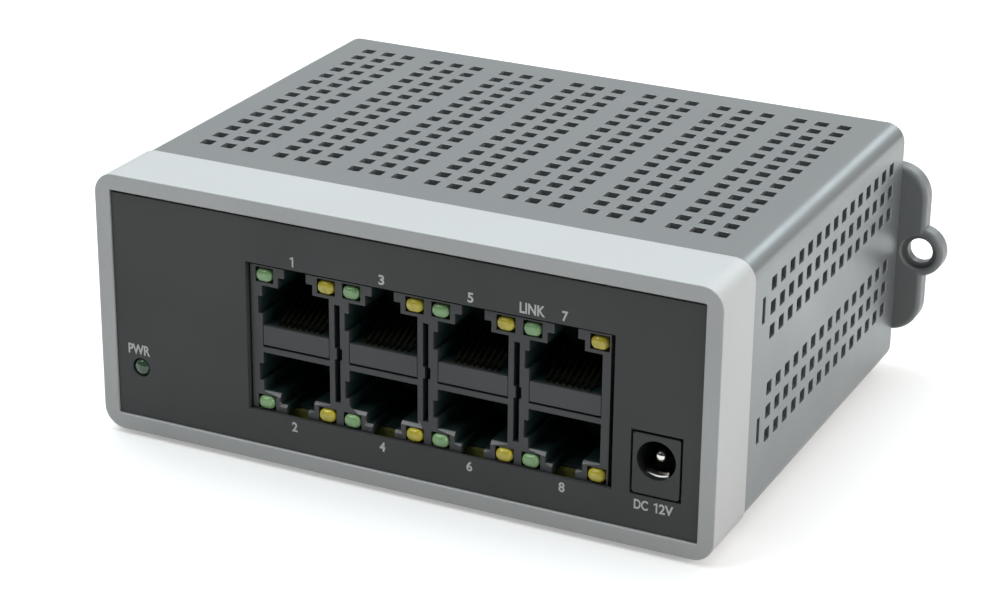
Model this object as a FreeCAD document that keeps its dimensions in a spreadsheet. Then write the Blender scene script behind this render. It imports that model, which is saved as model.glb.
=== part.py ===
import FreeCAD, Part
import os
import re

import Sketcher

# A compact eight-port ethernet switch with a barrel jack on the front and a screw bracket on the back.
# Millimetres, +Z up, X across the front, Y from the front to the back. The origin is under the middle
# of the whole part, on the surface that its feet stand on.

SIZES = {
    # case: front bezel, cover and base pan share one outer section
    "body_width": 105.8,
    "body_height": 43.65,
    "case_depth": 81.25,
    "corner_radius": 3.5,
    "foot_lift": 0.85,
    # front bezel
    "bezel_depth": 12.65,
    "rim_width": 2.67,
    "rim_edge_chamfer": 0.4,
    "ledge_width": 1.6,
    "ledge_thickness": 1.3,
    "tab_height": 6.5,
    "tab_thickness": 1.5,
    "tab_root": 3.2,
    "tab_length": 6.8,
    "tab_clearance": 0.15,
    "hook_recess": 0.75,
    "hook_clearance": 0.2,
    "snap_slot_height": 4.25,
    "snap_slot_width": 1.2,
    "snap_slot_setback": 4.15,
    "snap_upper_height": 34.15,
    "snap_lower_height": 14.6,
    # faceplate and its windows
    "plate_recess": 0.4,
    "plate_thickness": 0.85,
    "plate_clearance": 0.1,
    "window_width": 62.2,
    "window_sill": 0.24,
    "window_headroom": 0.32,
    "collar_wall": 0.9,
    "collar_depth": 3.3,
    # perforated cover
    "sheet_thickness": 1.0,
    "cover_inset": 0.5,
    "flange_width": 8.7,
    "vent_size": 2.2,
    "vent_pitch": 3.88,
    "vent_setback": 20.95,
    "top_group_pitch": 13.53,
    "side_group_pitch": 17.06,
    "side_vent_height": 24.87,
    # base pan
    "pan_thickness": 1.0,
    "pan_clearance": 0.2,
    "bend_radius": 0.8,
    # rear bracket
    "bracket_width": 114.55,
    "bracket_height": 29.55,
    "bracket_centre_height": 21.1,
    "bracket_thickness": 3.25,
    "bracket_corner_radius": 5.45,
    "bracket_edge_chamfer": 0.65,
    "ear_span": 112.8,
    "ear_radius": 4.25,
    "ear_hole": 4.35,
    "ear_recess_diameter": 6.0,
    "ear_recess_depth": 1.3,
    # circuit board
    "board_height": 8.1,
    "board_thickness": 1.6,
    "board_width": 98.2,
    "board_setback": 3.8,
    "board_rear_gap": 2.2,
    # port block
    "port_pitch": 15.24,
    "port_centre": 5.07,
    "block_gap": 0.1,
    "block_shift": 0.33,
    "block_height": 24.6,
    "block_depth": 25.5,
    "socket_width": 11.8,
    "socket_depth": 14.0,
    "socket_near": 2.3,
    "socket_far": 8.95,
    "stair_width": 6.05,
    "stair_rise": 1.75,
    "latch_width": 3.8,
    "latch_overcut": 1.1,
    "latch_wall": 0.5,
    "latch_notch": 3.3,
    "groove_depth": 0.75,
    "groove_near": 4.25,
    "groove_far": 7.1,
    "crossbar_thickness": 0.95,
    "slit_width": 0.95,
    "slit_reach": 8.15,
    "slit_depth": 3.3,
    "slit_jog": 0.33,
    "slit_jog_reach": 0.95,
    # contact carriers and spring contacts
    "carrier_gap": 0.3,
    "carrier_clearance": 0.05,
    "carrier_lip": 2.2,
    "contact_pitch": 1.02,
    "contact_width": 0.45,
    "contact_thickness": 0.3,
    "contact_start": 0.7,
    "contact_bend": 1.6,
    "contact_reach": 9.0,
    "contact_rise": 3.2,
    # port lamps
    "lamp_spread": 5.42,
    "lamp_offset": 10.76,
    "lamp_width": 3.0,
    "lamp_height": 2.35,
    "lamp_length": 5.0,
    "lamp_proud": 0.4,
    "lamp_clearance": 0.05,
    "lamp_chamfer": 0.6,
    # barrel jack
    "jack_centre": 43.2,
    "jack_hole_height": 6.5,
    "jack_hole": 6.35,
    "jack_hole_depth": 9.5,
    "jack_nose_width": 7.65,
    "jack_nose_height": 9.95,
    "jack_nose_sill": 0.65,
    "jack_nose_gap": 0.3,
    "jack_shoulder_gap": 0.2,
    "jack_width": 9.8,
    "jack_height": 11.8,
    "jack_length": 14.0,
    "jack_prong": 2.0,
    "jack_prong_setback": 1.3,
    "jack_prong_tip": 0.5,
    "spring_width": 3.5,
    "spring_thickness": 0.35,
    "spring_height": 0.65,
    "spring_setback": 0.65,
    # power lamp
    "power_lamp_centre": 45.8,
    "power_lamp_height": 3.25,
    "power_lamp_diameter": 3.1,
    "power_lamp_length": 5.0,
    "power_lamp_bevel": 0.85,
    "power_lamp_recess": 0.1,
    "power_lamp_clearance": 0.15,
    "spacer_width": 4.6,
    "spacer_length": 5.0,
    "spacer_margin": 0.9,
    # screws, standoffs and feet
    "screw_diameter": 3.0,
    "screw_clearance": 0.1,
    "screw_head": 5.4,
    "cover_head_height": 0.8,
    "cover_screw_length": 4.0,
    "cover_screw_inset": 5.7,
    "cover_screw_front": 29.5,
    "cover_screw_rear": 19.6,
    "bracket_screw_spread": 32.7,
    "bracket_screw_length": 5.0,
    "bracket_head_height": 1.6,
    "bracket_head_recess": 2.0,
    "bracket_head_clearance": 0.3,
    "board_head_height": 1.8,
    "board_screw_length": 4.6,
    "board_screw_spread": 44.7,
    "board_screw_front": 20.7,
    "board_screw_rear": 8.7,
    "standoff_diameter": 5.6,
    "foot_diameter": 8.7,
    "foot_spread": 36.0,
    "foot_front": 26.2,
    "foot_rear": 9.8,
    # components on the board
    "transformer_gap": 2.0,
    "transformer_width": 12.0,
    "transformer_length": 9.0,
    "transformer_height": 4.5,
    "chip_setback": 56.7,
    "chip_side": 14.0,
    "chip_height": 1.2,
    "sink_side": 26.0,
    "sink_base": 2.5,
    "sink_height": 9.0,
    "fin_thickness": 1.2,
    "crystal_centre": 19.0,
    "crystal_width": 11.4,
    "crystal_length": 4.8,
    "crystal_height": 3.6,
    "supply_centre": 42.5,
    "capacitor_diameter": 6.3,
    "capacitor_height": 7.7,
    "input_capacitor_setback": 29.5,
    "output_capacitor_setback": 38.2,
    "inductor_setback": 49.0,
    "inductor_side": 7.3,
    "inductor_height": 4.0,
    "regulator_centre": 30.5,
    "regulator_width": 5.0,
    "regulator_length": 4.0,
    "regulator_height": 1.5,
}

PORT_COLUMNS = 4
CONTACTS_PER_PORT = 8
TOP_GROUPS = 7
SIDE_GROUPS = 2
VENTS_IN_GROUP = 3
VENT_ROWS = 15
FINS = 8

# Planes and edges that several pieces share, as formulas of the sizes.
FRONT = "(-(case_depth + bracket_thickness) / 2)"
REAR = "((case_depth - bracket_thickness) / 2)"
SEAM = f"({FRONT} + bezel_depth)"
CASE_HALF = "(body_width / 2)"
CASE_TOP = "(foot_lift + body_height)"
CASE_MIDDLE = "(foot_lift + body_height / 2)"
RIM_HALF = f"({CASE_HALF} - rim_width)"
RIM_BOTTOM = "(foot_lift + rim_width)"
RIM_TOP = f"({CASE_TOP} - rim_width)"
PLATE_FRONT = f"({FRONT} + plate_recess)"
PLATE_BACK = f"({PLATE_FRONT} + plate_thickness)"
COVER_HALF = f"({CASE_HALF} - cover_inset)"
COVER_INNER = f"({COVER_HALF} - sheet_thickness)"
COVER_BOTTOM = "(foot_lift + cover_inset)"
COVER_TOP = f"({CASE_TOP} - cover_inset)"
COVER_RADIUS = "(corner_radius - cover_inset)"
BEND_INNER = f"({COVER_RADIUS} - sheet_thickness)"
PAN_UNDER = f"({COVER_BOTTOM} + sheet_thickness)"
PAN_TOP = f"({PAN_UNDER} + pan_thickness)"
PAN_HALF = f"({COVER_INNER} - pan_clearance)"
PAN_FLOOR_HALF = f"({PAN_HALF} - {BEND_INNER})"
BOARD_TOP = "(foot_lift + board_height)"
BOARD_UNDER = f"({BOARD_TOP} - board_thickness)"
BOARD_FRONT = f"({FRONT} + board_setback)"
BOARD_REAR = f"({REAR} - pan_thickness - board_rear_gap)"
BLOCK_FRONT = f"({PLATE_BACK} + block_gap)"
BLOCK_BACK = f"({BLOCK_FRONT} + block_depth)"
BLOCK_MIDDLE = f"({BOARD_TOP} + block_height / 2)"
LAMP_FRONT = f"({BLOCK_FRONT} - lamp_proud)"
FIRST_PORT = f"(port_centre - {PORT_COLUMNS - 1} / 2 * port_pitch)"
CROSSBAR_TOP = f"({BLOCK_MIDDLE} - socket_near + crossbar_thickness)"
CARRIER_TOP = f"({BLOCK_MIDDLE} + socket_near)"
JACK_AXIS = f"({BOARD_TOP} + jack_hole_height)"
JACK_HOLE_END = f"({PLATE_FRONT} + jack_hole_depth)"
POWER_LAMP_AXIS = f"({BOARD_TOP} + power_lamp_height)"
POWER_LAMP_FRONT = f"({PLATE_FRONT} + power_lamp_recess)"
POWER_LAMP_END = f"({POWER_LAMP_FRONT} + power_lamp_length)"
BRACKET_MIDDLE = "(foot_lift + bracket_centre_height)"
BRACKET_BACK = f"({REAR} + bracket_thickness)"
CHIP_MIDDLE = f"({FRONT} + chip_setback)"
CHIP_TOP = f"({BOARD_TOP} + chip_height)"

doc = FreeCAD.newDocument("EthernetSwitch")
sheet = doc.addObject("Spreadsheet::Sheet", "Sizes")
for row, (size_name, size) in enumerate(SIZES.items(), start=1):
    sheet.set(f"A{row}", size_name)
    sheet.set(f"B{row}", str(size))
    sheet.setAlias(f"B{row}", size_name)
doc.recompute()


def formula(text):
    """Gives a size formula with every size name pointing at the sheet."""
    return re.sub(r"[a-z]\w*", r"Sizes.\g<0>", text)


def number(text):
    """Gives the length that a size formula stands for now."""
    return float(sheet.evalExpression(formula(text)))


def origin_feature(body, role):
    """Finds one of a body's own origin planes or axes."""
    return next(item for item in body.Origin.OriginFeatures if item.Role == role)


def new_body(label):
    body = doc.addObject("PartDesign::Body", label)
    body.Label = label
    return body


def new_sketch(body, role, offset):
    sketch = body.newObject("Sketcher::SketchObject", f"{body.Name}_sketch")
    sketch.AttachmentSupport = [(origin_feature(body, role), "")]
    sketch.MapMode = "FlatFace"
    sketch.setExpression("AttachmentOffset.Base.z", formula(offset))
    return sketch


def front_sketch(body, y):
    """A sketch seen from the front: its axes are X and Z."""
    return new_sketch(body, "XZ_Plane", f"-({y})")


def plan_sketch(body, z):
    """A sketch seen from above: its axes are X and Y."""
    return new_sketch(body, "XY_Plane", z)


def side_sketch(body, x):
    """A sketch seen from the right: its axes are Y and Z."""
    return new_sketch(body, "YZ_Plane", x)


def tie(sketch, kind, *references, to):
    """Adds a dimension to a sketch and binds it to a size formula."""
    index = sketch.addConstraint(Sketcher.Constraint(kind, *references, number(to)))
    sketch.setExpression(f"Constraints[{index}]", formula(to))


def polygon(sketch, points):
    """Draws a closed outline whose corners are pairs of size formulas."""
    first = sketch.GeometryCount
    corners = [FreeCAD.Vector(number(across), number(up), 0) for across, up in points]
    following = corners[1:] + corners[:1]
    sketch.addGeometry([Part.LineSegment(*ends) for ends in zip(corners, following)], False)
    for step, (across, up) in enumerate(points):
        line = first + step
        next_line = first + (step + 1) % len(points)
        sketch.addConstraint(Sketcher.Constraint("Coincident", line, 2, next_line, 1))
        tie(sketch, "DistanceX", -1, 1, line, 1, to=across)
        tie(sketch, "DistanceY", -1, 1, line, 1, to=up)


def rectangle(sketch, left, right, bottom, top):
    polygon(sketch, [(left, bottom), (right, bottom), (right, top), (left, top)])


def rounded_rectangle(sketch, half_width, bottom, top, radius):
    """Draws a rectangle centred on the middle plane, with four equal round corners."""
    first = sketch.GeometryCount
    side, low, high, bend = (number(text) for text in (half_width, bottom, top, radius))
    corners = [(side, low, 270), (side, high, 0), (-side, high, 90), (-side, low, 180)]
    arcs = []
    for x, z, start in corners:
        centre = FreeCAD.Vector(x - bend if x > 0 else x + bend, z + bend if z == low else z - bend, 0)
        turn = Part.Circle(centre, FreeCAD.Vector(0, 0, 1), bend)
        begin = FreeCAD.Units.parseQuantity(f"{start} deg").getValueAs("rad").Value
        end = FreeCAD.Units.parseQuantity(f"{start + 90} deg").getValueAs("rad").Value
        arcs.append(Part.ArcOfCircle(turn, begin, end))
    for arc, following in zip(arcs, arcs[1:] + arcs[:1]):
        sketch.addGeometry(arc, False)
        sketch.addGeometry(Part.LineSegment(arc.EndPoint, following.StartPoint), False)
    for arc in range(first, first + 8, 2):
        next_arc = first + (arc - first + 2) % 8
        sketch.addConstraint(Sketcher.Constraint("Tangent", arc, 2, arc + 1, 1))
        sketch.addConstraint(Sketcher.Constraint("Tangent", arc + 1, 2, next_arc, 1))
    right, over, left, under = (first + step for step in (1, 3, 5, 7))
    for line in (right, left):
        sketch.addConstraint(Sketcher.Constraint("Vertical", line))
    for line in (over, under):
        sketch.addConstraint(Sketcher.Constraint("Horizontal", line))
    for arc in range(first + 2, first + 8, 2):
        sketch.addConstraint(Sketcher.Constraint("Equal", first, arc))
    tie(sketch, "Radius", first, to=radius)
    tie(sketch, "DistanceX", -1, 1, right, 1, to=half_width)
    tie(sketch, "DistanceX", -1, 1, left, 1, to=f"-({half_width})")
    tie(sketch, "DistanceY", -1, 1, over, 1, to=top)
    tie(sketch, "DistanceY", -1, 1, under, 1, to=bottom)


def circle(sketch, across, up, diameter):
    centre = FreeCAD.Vector(number(across), number(up), 0)
    ring = sketch.addGeometry(Part.Circle(centre, FreeCAD.Vector(0, 0, 1), number(diameter) / 2), False)
    tie(sketch, "DistanceX", -1, 1, ring, 3, to=across)
    tie(sketch, "DistanceY", -1, 1, ring, 3, to=up)
    tie(sketch, "Diameter", ring, to=diameter)


def seen_from_front(sketch):
    return sketch.AttachmentSupport[0][0].Role == "XZ_Plane"


def pad(sketch, length):
    """Raises a sketch along +X, +Y or +Z."""
    body = sketch.getParentGeoFeatureGroup()
    feature = body.newObject("PartDesign::Pad", f"{body.Name}_pad")
    feature.Profile = sketch
    feature.Reversed = seen_from_front(sketch)
    feature.setExpression("Length", formula(length))
    doc.recompute()
    return feature


def pocket(sketch, depth=None, downwards=False):
    """Cuts a sketch along +X, +Y or +Z, or the other way, to a depth or right through."""
    body = sketch.getParentGeoFeatureGroup()
    before = body.Shape.Volume
    feature = body.newObject("PartDesign::Pocket", f"{body.Name}_pocket")
    feature.Profile = sketch
    feature.Reversed = seen_from_front(sketch) == downwards
    if depth is None:
        feature.Type = "ThroughAll"
    else:
        feature.setExpression("Length", formula(depth))
    doc.recompute()
    if body.Shape.Volume >= before:
        raise ValueError(f"{feature.Name} cuts nothing")
    return feature


def repeat(feature, *steps):
    """Repeats a feature in rows: each step is an axis, a count and the spacing as a formula."""
    body = feature.getParentGeoFeatureGroup()
    rows = body.newObject("PartDesign::MultiTransform", f"{body.Name}_rows")
    rows.Originals = [feature]
    rows.Refine = False
    patterns = []
    for axis, count, spacing in steps:
        pattern = body.newObject("PartDesign::LinearPattern", f"{body.Name}_row")
        pattern.Direction = (origin_feature(body, axis), [""])
        pattern.Occurrences = count
        pattern.setExpression("Length", formula(f"{count - 1} * ({spacing})"))
        patterns.append(pattern)
    rows.Transformations = patterns
    body.Tip = rows
    doc.recompute()


def mirror_sides(*features):
    """Repeats features on the other side of the middle plane."""
    body = features[0].getParentGeoFeatureGroup()
    mirrored = body.newObject("PartDesign::Mirrored", f"{body.Name}_mirror")
    mirrored.Originals = list(features)
    mirrored.MirrorPlane = (origin_feature(body, "YZ_Plane"), [""])
    body.Tip = mirrored
    doc.recompute()


def dress_edges(body, kind, prop, size, chosen):
    """Rounds or chamfers the edges of a body for which chosen is true."""
    base = body.Tip
    edges = [f"Edge{index}" for index, edge in enumerate(base.Shape.Edges, start=1) if chosen(edge)]
    feature = body.newObject(f"PartDesign::{kind}", f"{body.Name}_{kind.lower()}")
    feature.Base = (base, edges)
    feature.setExpression(prop, formula(size))
    doc.recompute()


def lies_at(edge, y=None, z=None):
    """Says whether an edge lies in a plane of constant Y, and of constant Z where that is given."""
    box = edge.BoundBox
    tolerance = 1e-4
    in_y = y is None or max(abs(box.YMin - number(y)), abs(box.YMax - number(y))) < tolerance
    in_z = z is None or max(abs(box.ZMin - number(z)), abs(box.ZMax - number(z))) < tolerance
    return in_y and in_z


def place(item, x, y, z):
    for axis, text in zip("xyz", (x, y, z)):
        item.setExpression(f"Placement.Base.{axis}", formula(text))


def block(label, x, y, z, width, length, height):
    """A plain box that stands on height z, centred on x and y."""
    item = doc.addObject("Part::Box", label)
    item.Label = label
    item.setExpression("Length", formula(width))
    item.setExpression("Width", formula(length))
    item.setExpression("Height", formula(height))
    place(item, f"{x} - {width} / 2", f"{y} - {length} / 2", z)
    return item


def four_spots(spread, front, rear):
    """The four places of a piece that sits on both sides, near the front and near the rear."""
    return [(side, along) for side in (f"-({spread})", spread) for along in (front, rear)]


COVER_SCREW_SPOTS = four_spots(
    f"{COVER_HALF} - cover_screw_inset", f"{FRONT} + cover_screw_front", f"{REAR} - cover_screw_rear"
)
BOARD_SCREW_SPOTS = four_spots(
    "board_screw_spread", f"{FRONT} + board_screw_front", f"{REAR} - board_screw_rear"
)
BRACKET_SCREW_SPOTS = [(side, BRACKET_MIDDLE) for side in ("-bracket_screw_spread", "bracket_screw_spread")]


def snap_windows(sketch, across, margin):
    """Draws the upper and the lower snap on one side, seen from the right or from the front."""
    for height in ("snap_upper_height", "snap_lower_height"):
        centre = f"(foot_lift + {height})"
        rectangle(sketch, *across, f"{centre} - {margin}", f"{centre} + {margin}")


def build_front_bezel():
    """Moulded ring with a ledge for the faceplate and four snap tabs that reach into the cover."""
    body = new_body("front_bezel")
    ring = front_sketch(body, FRONT)
    rounded_rectangle(ring, CASE_HALF, "foot_lift", CASE_TOP, "corner_radius")
    rectangle(ring, f"-{RIM_HALF}", RIM_HALF, RIM_BOTTOM, RIM_TOP)
    pad(ring, "bezel_depth")
    dress_edges(
        body, "Chamfer", "Size", "rim_edge_chamfer",
        lambda edge: lies_at(edge, y=FRONT) and not inside_rim(edge),
    )
    ledge = front_sketch(body, PLATE_BACK)
    rectangle(ledge, f"-{RIM_HALF}", RIM_HALF, RIM_BOTTOM, RIM_TOP)
    rectangle(
        ledge, f"-({RIM_HALF} - ledge_width)", f"{RIM_HALF} - ledge_width",
        f"{RIM_BOTTOM} + ledge_width", f"{RIM_TOP} - ledge_width",
    )
    pad(ledge, "ledge_thickness")
    tab_outer = f"({COVER_INNER} - tab_clearance)"
    tab = front_sketch(body, f"{SEAM} - tab_root")
    snap_windows(tab, (f"{tab_outer} - tab_thickness", tab_outer), "tab_height / 2")
    tabs = pad(tab, "tab_root + tab_length")
    slot = f"({SEAM} + snap_slot_setback)"
    hook = side_sketch(body, f"{tab_outer} - tab_thickness / 2")
    reach = "(snap_slot_width / 2 - hook_clearance)"
    snap_windows(hook, (f"{slot} - {reach}", f"{slot} + {reach}"), "(snap_slot_height / 2 - hook_clearance)")
    hooks = pad(hook, f"{COVER_HALF} - hook_recess - {tab_outer} + tab_thickness / 2")
    mirror_sides(tabs, hooks)
    return body


def inside_rim(edge):
    """Tells the rim's inner edges from its outer ones."""
    box = edge.BoundBox
    wide = max(abs(box.XMin), abs(box.XMax)) > number(RIM_HALF) + number("rim_width") / 2
    tall = box.ZMax > number(RIM_TOP) + number("rim_width") / 2
    low = box.ZMin < number(RIM_BOTTOM) - number("rim_width") / 2
    return not (wide or tall or low)


def build_faceplate():
    """Plate in the rim, with the jack window, the lamp hole, and a collar round the port window."""
    body = new_body("faceplate")
    left = "(port_centre - window_width / 2)"
    right = "(port_centre + window_width / 2)"
    sill = f"({BOARD_TOP} + window_sill)"
    head = f"({BOARD_TOP} + block_height + window_headroom)"
    face = front_sketch(body, PLATE_FRONT)
    rectangle(
        face, f"-({RIM_HALF} - plate_clearance)", f"{RIM_HALF} - plate_clearance",
        f"{RIM_BOTTOM} + plate_clearance", f"{RIM_TOP} - plate_clearance",
    )
    rectangle(face, left, right, sill, head)
    nose_half = "(jack_nose_width / 2 + jack_nose_gap)"
    nose_bottom = f"({BOARD_TOP} + jack_nose_sill)"
    rectangle(
        face, f"jack_centre - {nose_half}", f"jack_centre + {nose_half}",
        f"{nose_bottom} - jack_nose_gap", f"{nose_bottom} + jack_nose_height + jack_nose_gap",
    )
    circle(face, "-power_lamp_centre", POWER_LAMP_AXIS, "power_lamp_diameter + 2 * power_lamp_clearance")
    pad(face, "plate_thickness")
    collar = front_sketch(body, PLATE_BACK)
    polygon(collar, [
        (f"{left} - collar_wall", sill),
        (left, sill),
        (left, head),
        (right, head),
        (right, sill),
        (f"{right} + collar_wall", sill),
        (f"{right} + collar_wall", f"{head} + collar_wall"),
        (f"{left} - collar_wall", f"{head} + collar_wall"),
    ])
    pad(collar, "collar_depth")
    return body


def build_perforated_cover():
    """Folded sheet: top, sides and two inturned flanges, with square vents and snap slots."""
    body = new_body("perforated_cover")
    section = front_sketch(body, SEAM)
    rounded_rectangle(section, COVER_HALF, COVER_BOTTOM, COVER_TOP, COVER_RADIUS)
    rounded_rectangle(section, COVER_INNER, PAN_UNDER, f"{COVER_TOP} - sheet_thickness", BEND_INNER)
    pad(section, "case_depth - bezel_depth")
    opening = plan_sketch(body, CASE_MIDDLE)
    edge = f"({COVER_HALF} - flange_width)"
    rectangle(opening, f"-{edge}", edge, f"{SEAM} - bezel_depth", f"{REAR} + bezel_depth")
    pocket(opening, downwards=True)
    holes = plan_sketch(body, CASE_MIDDLE)
    for spot in COVER_SCREW_SPOTS:
        circle(holes, *spot, "screw_diameter + 2 * screw_clearance")
    pocket(holes, downwards=True)
    slots = side_sketch(body, "-body_width")
    slot = f"({SEAM} + snap_slot_setback)"
    snap_windows(
        slots, (f"{slot} - snap_slot_width / 2", f"{slot} + snap_slot_width / 2"), "snap_slot_height / 2"
    )
    pocket(slots)
    first_row = f"({FRONT} + vent_setback)"
    row_edges = (f"{first_row} - vent_size / 2", f"{first_row} + vent_size / 2")
    group = f"({VENTS_IN_GROUP - 1} * vent_pitch)"
    side_first = f"(foot_lift + side_vent_height - ({SIDE_GROUPS - 1} * side_group_pitch + {group}) / 2)"
    side_vent = side_sketch(body, "-body_width")
    rectangle(side_vent, *row_edges, f"{side_first} - vent_size / 2", f"{side_first} + vent_size / 2")
    repeat(
        pocket(side_vent),
        ("Z_Axis", VENTS_IN_GROUP, "vent_pitch"),
        ("Z_Axis", SIDE_GROUPS, "side_group_pitch"),
        ("Y_Axis", VENT_ROWS, "vent_pitch"),
    )
    top_first = f"(-({TOP_GROUPS - 1} * top_group_pitch + {group}) / 2)"
    top_vent = plan_sketch(body, CASE_MIDDLE)
    rectangle(top_vent, f"{top_first} - vent_size / 2", f"{top_first} + vent_size / 2", *row_edges)
    repeat(
        pocket(top_vent),
        ("X_Axis", VENTS_IN_GROUP, "vent_pitch"),
        ("X_Axis", TOP_GROUPS, "top_group_pitch"),
        ("Y_Axis", VENT_ROWS, "vent_pitch"),
    )
    return body


def build_base_pan():
    """Folded sheet that lies on the cover's flanges and turns up into the rear wall."""
    body = new_body("base_pan")
    floor = plan_sketch(body, PAN_UNDER)
    rectangle(floor, f"-{PAN_FLOOR_HALF}", PAN_FLOOR_HALF, f"{SEAM} + pan_clearance", REAR)
    pad(floor, "pan_thickness")
    wall = front_sketch(body, f"{REAR} - pan_thickness")
    wall_top = f"({COVER_TOP} - sheet_thickness - pan_clearance)"
    rounded_rectangle(wall, PAN_HALF, PAN_UNDER, wall_top, BEND_INNER)
    pad(wall, "pan_thickness")
    dress_edges(
        body, "Fillet", "Radius", "bend_radius",
        lambda edge: lies_at(edge, y=f"{REAR} - pan_thickness", z=PAN_TOP),
    )
    cover_holes = plan_sketch(body, CASE_MIDDLE)
    for spot in COVER_SCREW_SPOTS:
        circle(cover_holes, *spot, "screw_diameter + 2 * screw_clearance")
    pocket(cover_holes, downwards=True)
    bracket_holes = front_sketch(body, CHIP_MIDDLE)
    for spot in BRACKET_SCREW_SPOTS:
        circle(bracket_holes, *spot, "screw_diameter + 2 * screw_clearance")
    pocket(bracket_holes)
    return body


def build_mounting_bracket():
    """Moulded plate on the rear wall, with a recessed screw ear at each end."""
    body = new_body("mounting_bracket")
    plate = front_sketch(body, REAR)
    rounded_rectangle(
        plate, "bracket_width / 2", f"{BRACKET_MIDDLE} - bracket_height / 2",
        f"{BRACKET_MIDDLE} + bracket_height / 2", "bracket_corner_radius",
    )
    pad(plate, "bracket_thickness")
    ear = front_sketch(body, REAR)
    circle(ear, "ear_span / 2", BRACKET_MIDDLE, "2 * ear_radius")
    mirror_sides(pad(ear, "bracket_thickness"))
    dress_edges(body, "Chamfer", "Size", "bracket_edge_chamfer", lambda edge: lies_at(edge, y=REAR))
    recess = front_sketch(body, REAR)
    circle(recess, "ear_span / 2", BRACKET_MIDDLE, "ear_recess_diameter")
    recessed = pocket(recess, "ear_recess_depth")
    hole = front_sketch(body, REAR)
    circle(hole, "ear_span / 2", BRACKET_MIDDLE, "ear_hole")
    mirror_sides(recessed, pocket(hole))
    screw_holes = front_sketch(body, REAR)
    for spot in BRACKET_SCREW_SPOTS:
        circle(screw_holes, *spot, "screw_diameter + 2 * screw_clearance")
    pocket(screw_holes)
    head_seats = front_sketch(body, f"{BRACKET_BACK} - bracket_head_recess")
    for spot in BRACKET_SCREW_SPOTS:
        circle(head_seats, *spot, "screw_head + 2 * bracket_head_clearance")
    pocket(head_seats)
    return body


def build_circuit_board():
    body = new_body("circuit_board")
    outline = plan_sketch(body, BOARD_UNDER)
    rectangle(outline, "-board_width / 2", "board_width / 2", BOARD_FRONT, BOARD_REAR)
    for spot in BOARD_SCREW_SPOTS:
        circle(outline, *spot, "screw_diameter + 2 * screw_clearance")
    pad(outline, "board_thickness")
    return body


def build_screws(label, sketch_at, spots, head_seat, shank_seat, head_height, shank_length):
    """One set of like screws: heads and shanks raised from sketches across their axes."""
    body = new_body(label)
    heads = sketch_at(body, head_seat)
    shanks = sketch_at(body, shank_seat)
    for spot in spots:
        circle(heads, *spot, "screw_head")
        circle(shanks, *spot, "screw_diameter")
    pad(heads, head_height)
    pad(shanks, shank_length)
    return body


def build_all_screws():
    bracket_seat = f"({BRACKET_BACK} - bracket_head_recess)"
    return [
        build_screws(
            "cover_screws", plan_sketch, COVER_SCREW_SPOTS, f"{COVER_BOTTOM} - cover_head_height",
            COVER_BOTTOM, "cover_head_height", "cover_screw_length",
        ),
        build_screws(
            "board_screws", plan_sketch, BOARD_SCREW_SPOTS, BOARD_TOP,
            f"{BOARD_TOP} - board_screw_length", "board_head_height", "board_screw_length",
        ),
        build_screws(
            "bracket_screws", front_sketch, BRACKET_SCREW_SPOTS, bracket_seat,
            f"{bracket_seat} - bracket_screw_length", "bracket_head_height", "bracket_screw_length",
        ),
    ]


def build_board_standoffs():
    """Four threaded sleeves that stand on the pan and carry the board."""
    body = new_body("board_standoffs")
    sleeves = plan_sketch(body, PAN_TOP)
    for spot in BOARD_SCREW_SPOTS:
        circle(sleeves, *spot, "standoff_diameter")
        circle(sleeves, *spot, "screw_diameter + 2 * screw_clearance")
    pad(sleeves, f"{BOARD_UNDER} - {PAN_TOP}")
    return body


def build_feet():
    """Four rubber feet stuck to the pan between the cover's flanges."""
    feet = []
    spots = four_spots("foot_spread", f"{FRONT} + foot_front", f"{REAR} - foot_rear")
    names = ("foot_front_left", "foot_rear_left", "foot_front_right", "foot_rear_right")
    for label, (x, y) in zip(names, spots):
        foot = doc.addObject("Part::Cylinder", label)
        foot.Label = label
        foot.setExpression("Radius", formula("foot_diameter / 2"))
        foot.setExpression("Height", formula(PAN_UNDER))
        foot.setExpression("Placement.Base.x", formula(x))
        foot.setExpression("Placement.Base.y", formula(y))
        feet.append(foot)
    return feet


def socket_outline(up):
    """Corners of one socket's mouth: a groove in the left wall, steps beside the latch slot."""
    half = "(socket_width / 2)"
    points = [
        (half, "socket_near"),
        (half, "socket_far"),
        ("stair_width / 2", "socket_far"),
        ("stair_width / 2", "(socket_far + stair_rise)"),
        ("latch_width / 2", "(socket_far + stair_rise)"),
        ("latch_width / 2", "(block_height / 2 - latch_wall)"),
        ("-latch_width / 2", "(block_height / 2 - latch_wall)"),
        ("-latch_width / 2", "(socket_far + stair_rise)"),
        ("-stair_width / 2", "(socket_far + stair_rise)"),
        ("-stair_width / 2", "socket_far"),
        (f"-{half}", "socket_far"),
        (f"-{half}", "groove_far"),
        (f"-({half} + groove_depth)", "groove_far"),
        (f"-({half} + groove_depth)", "groove_near"),
        (f"-{half}", "groove_near"),
        (f"-{half}", "socket_near"),
    ]
    return [(f"{FIRST_PORT} + {x}", f"{BLOCK_MIDDLE} {up} {height}") for x, height in points]


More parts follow.
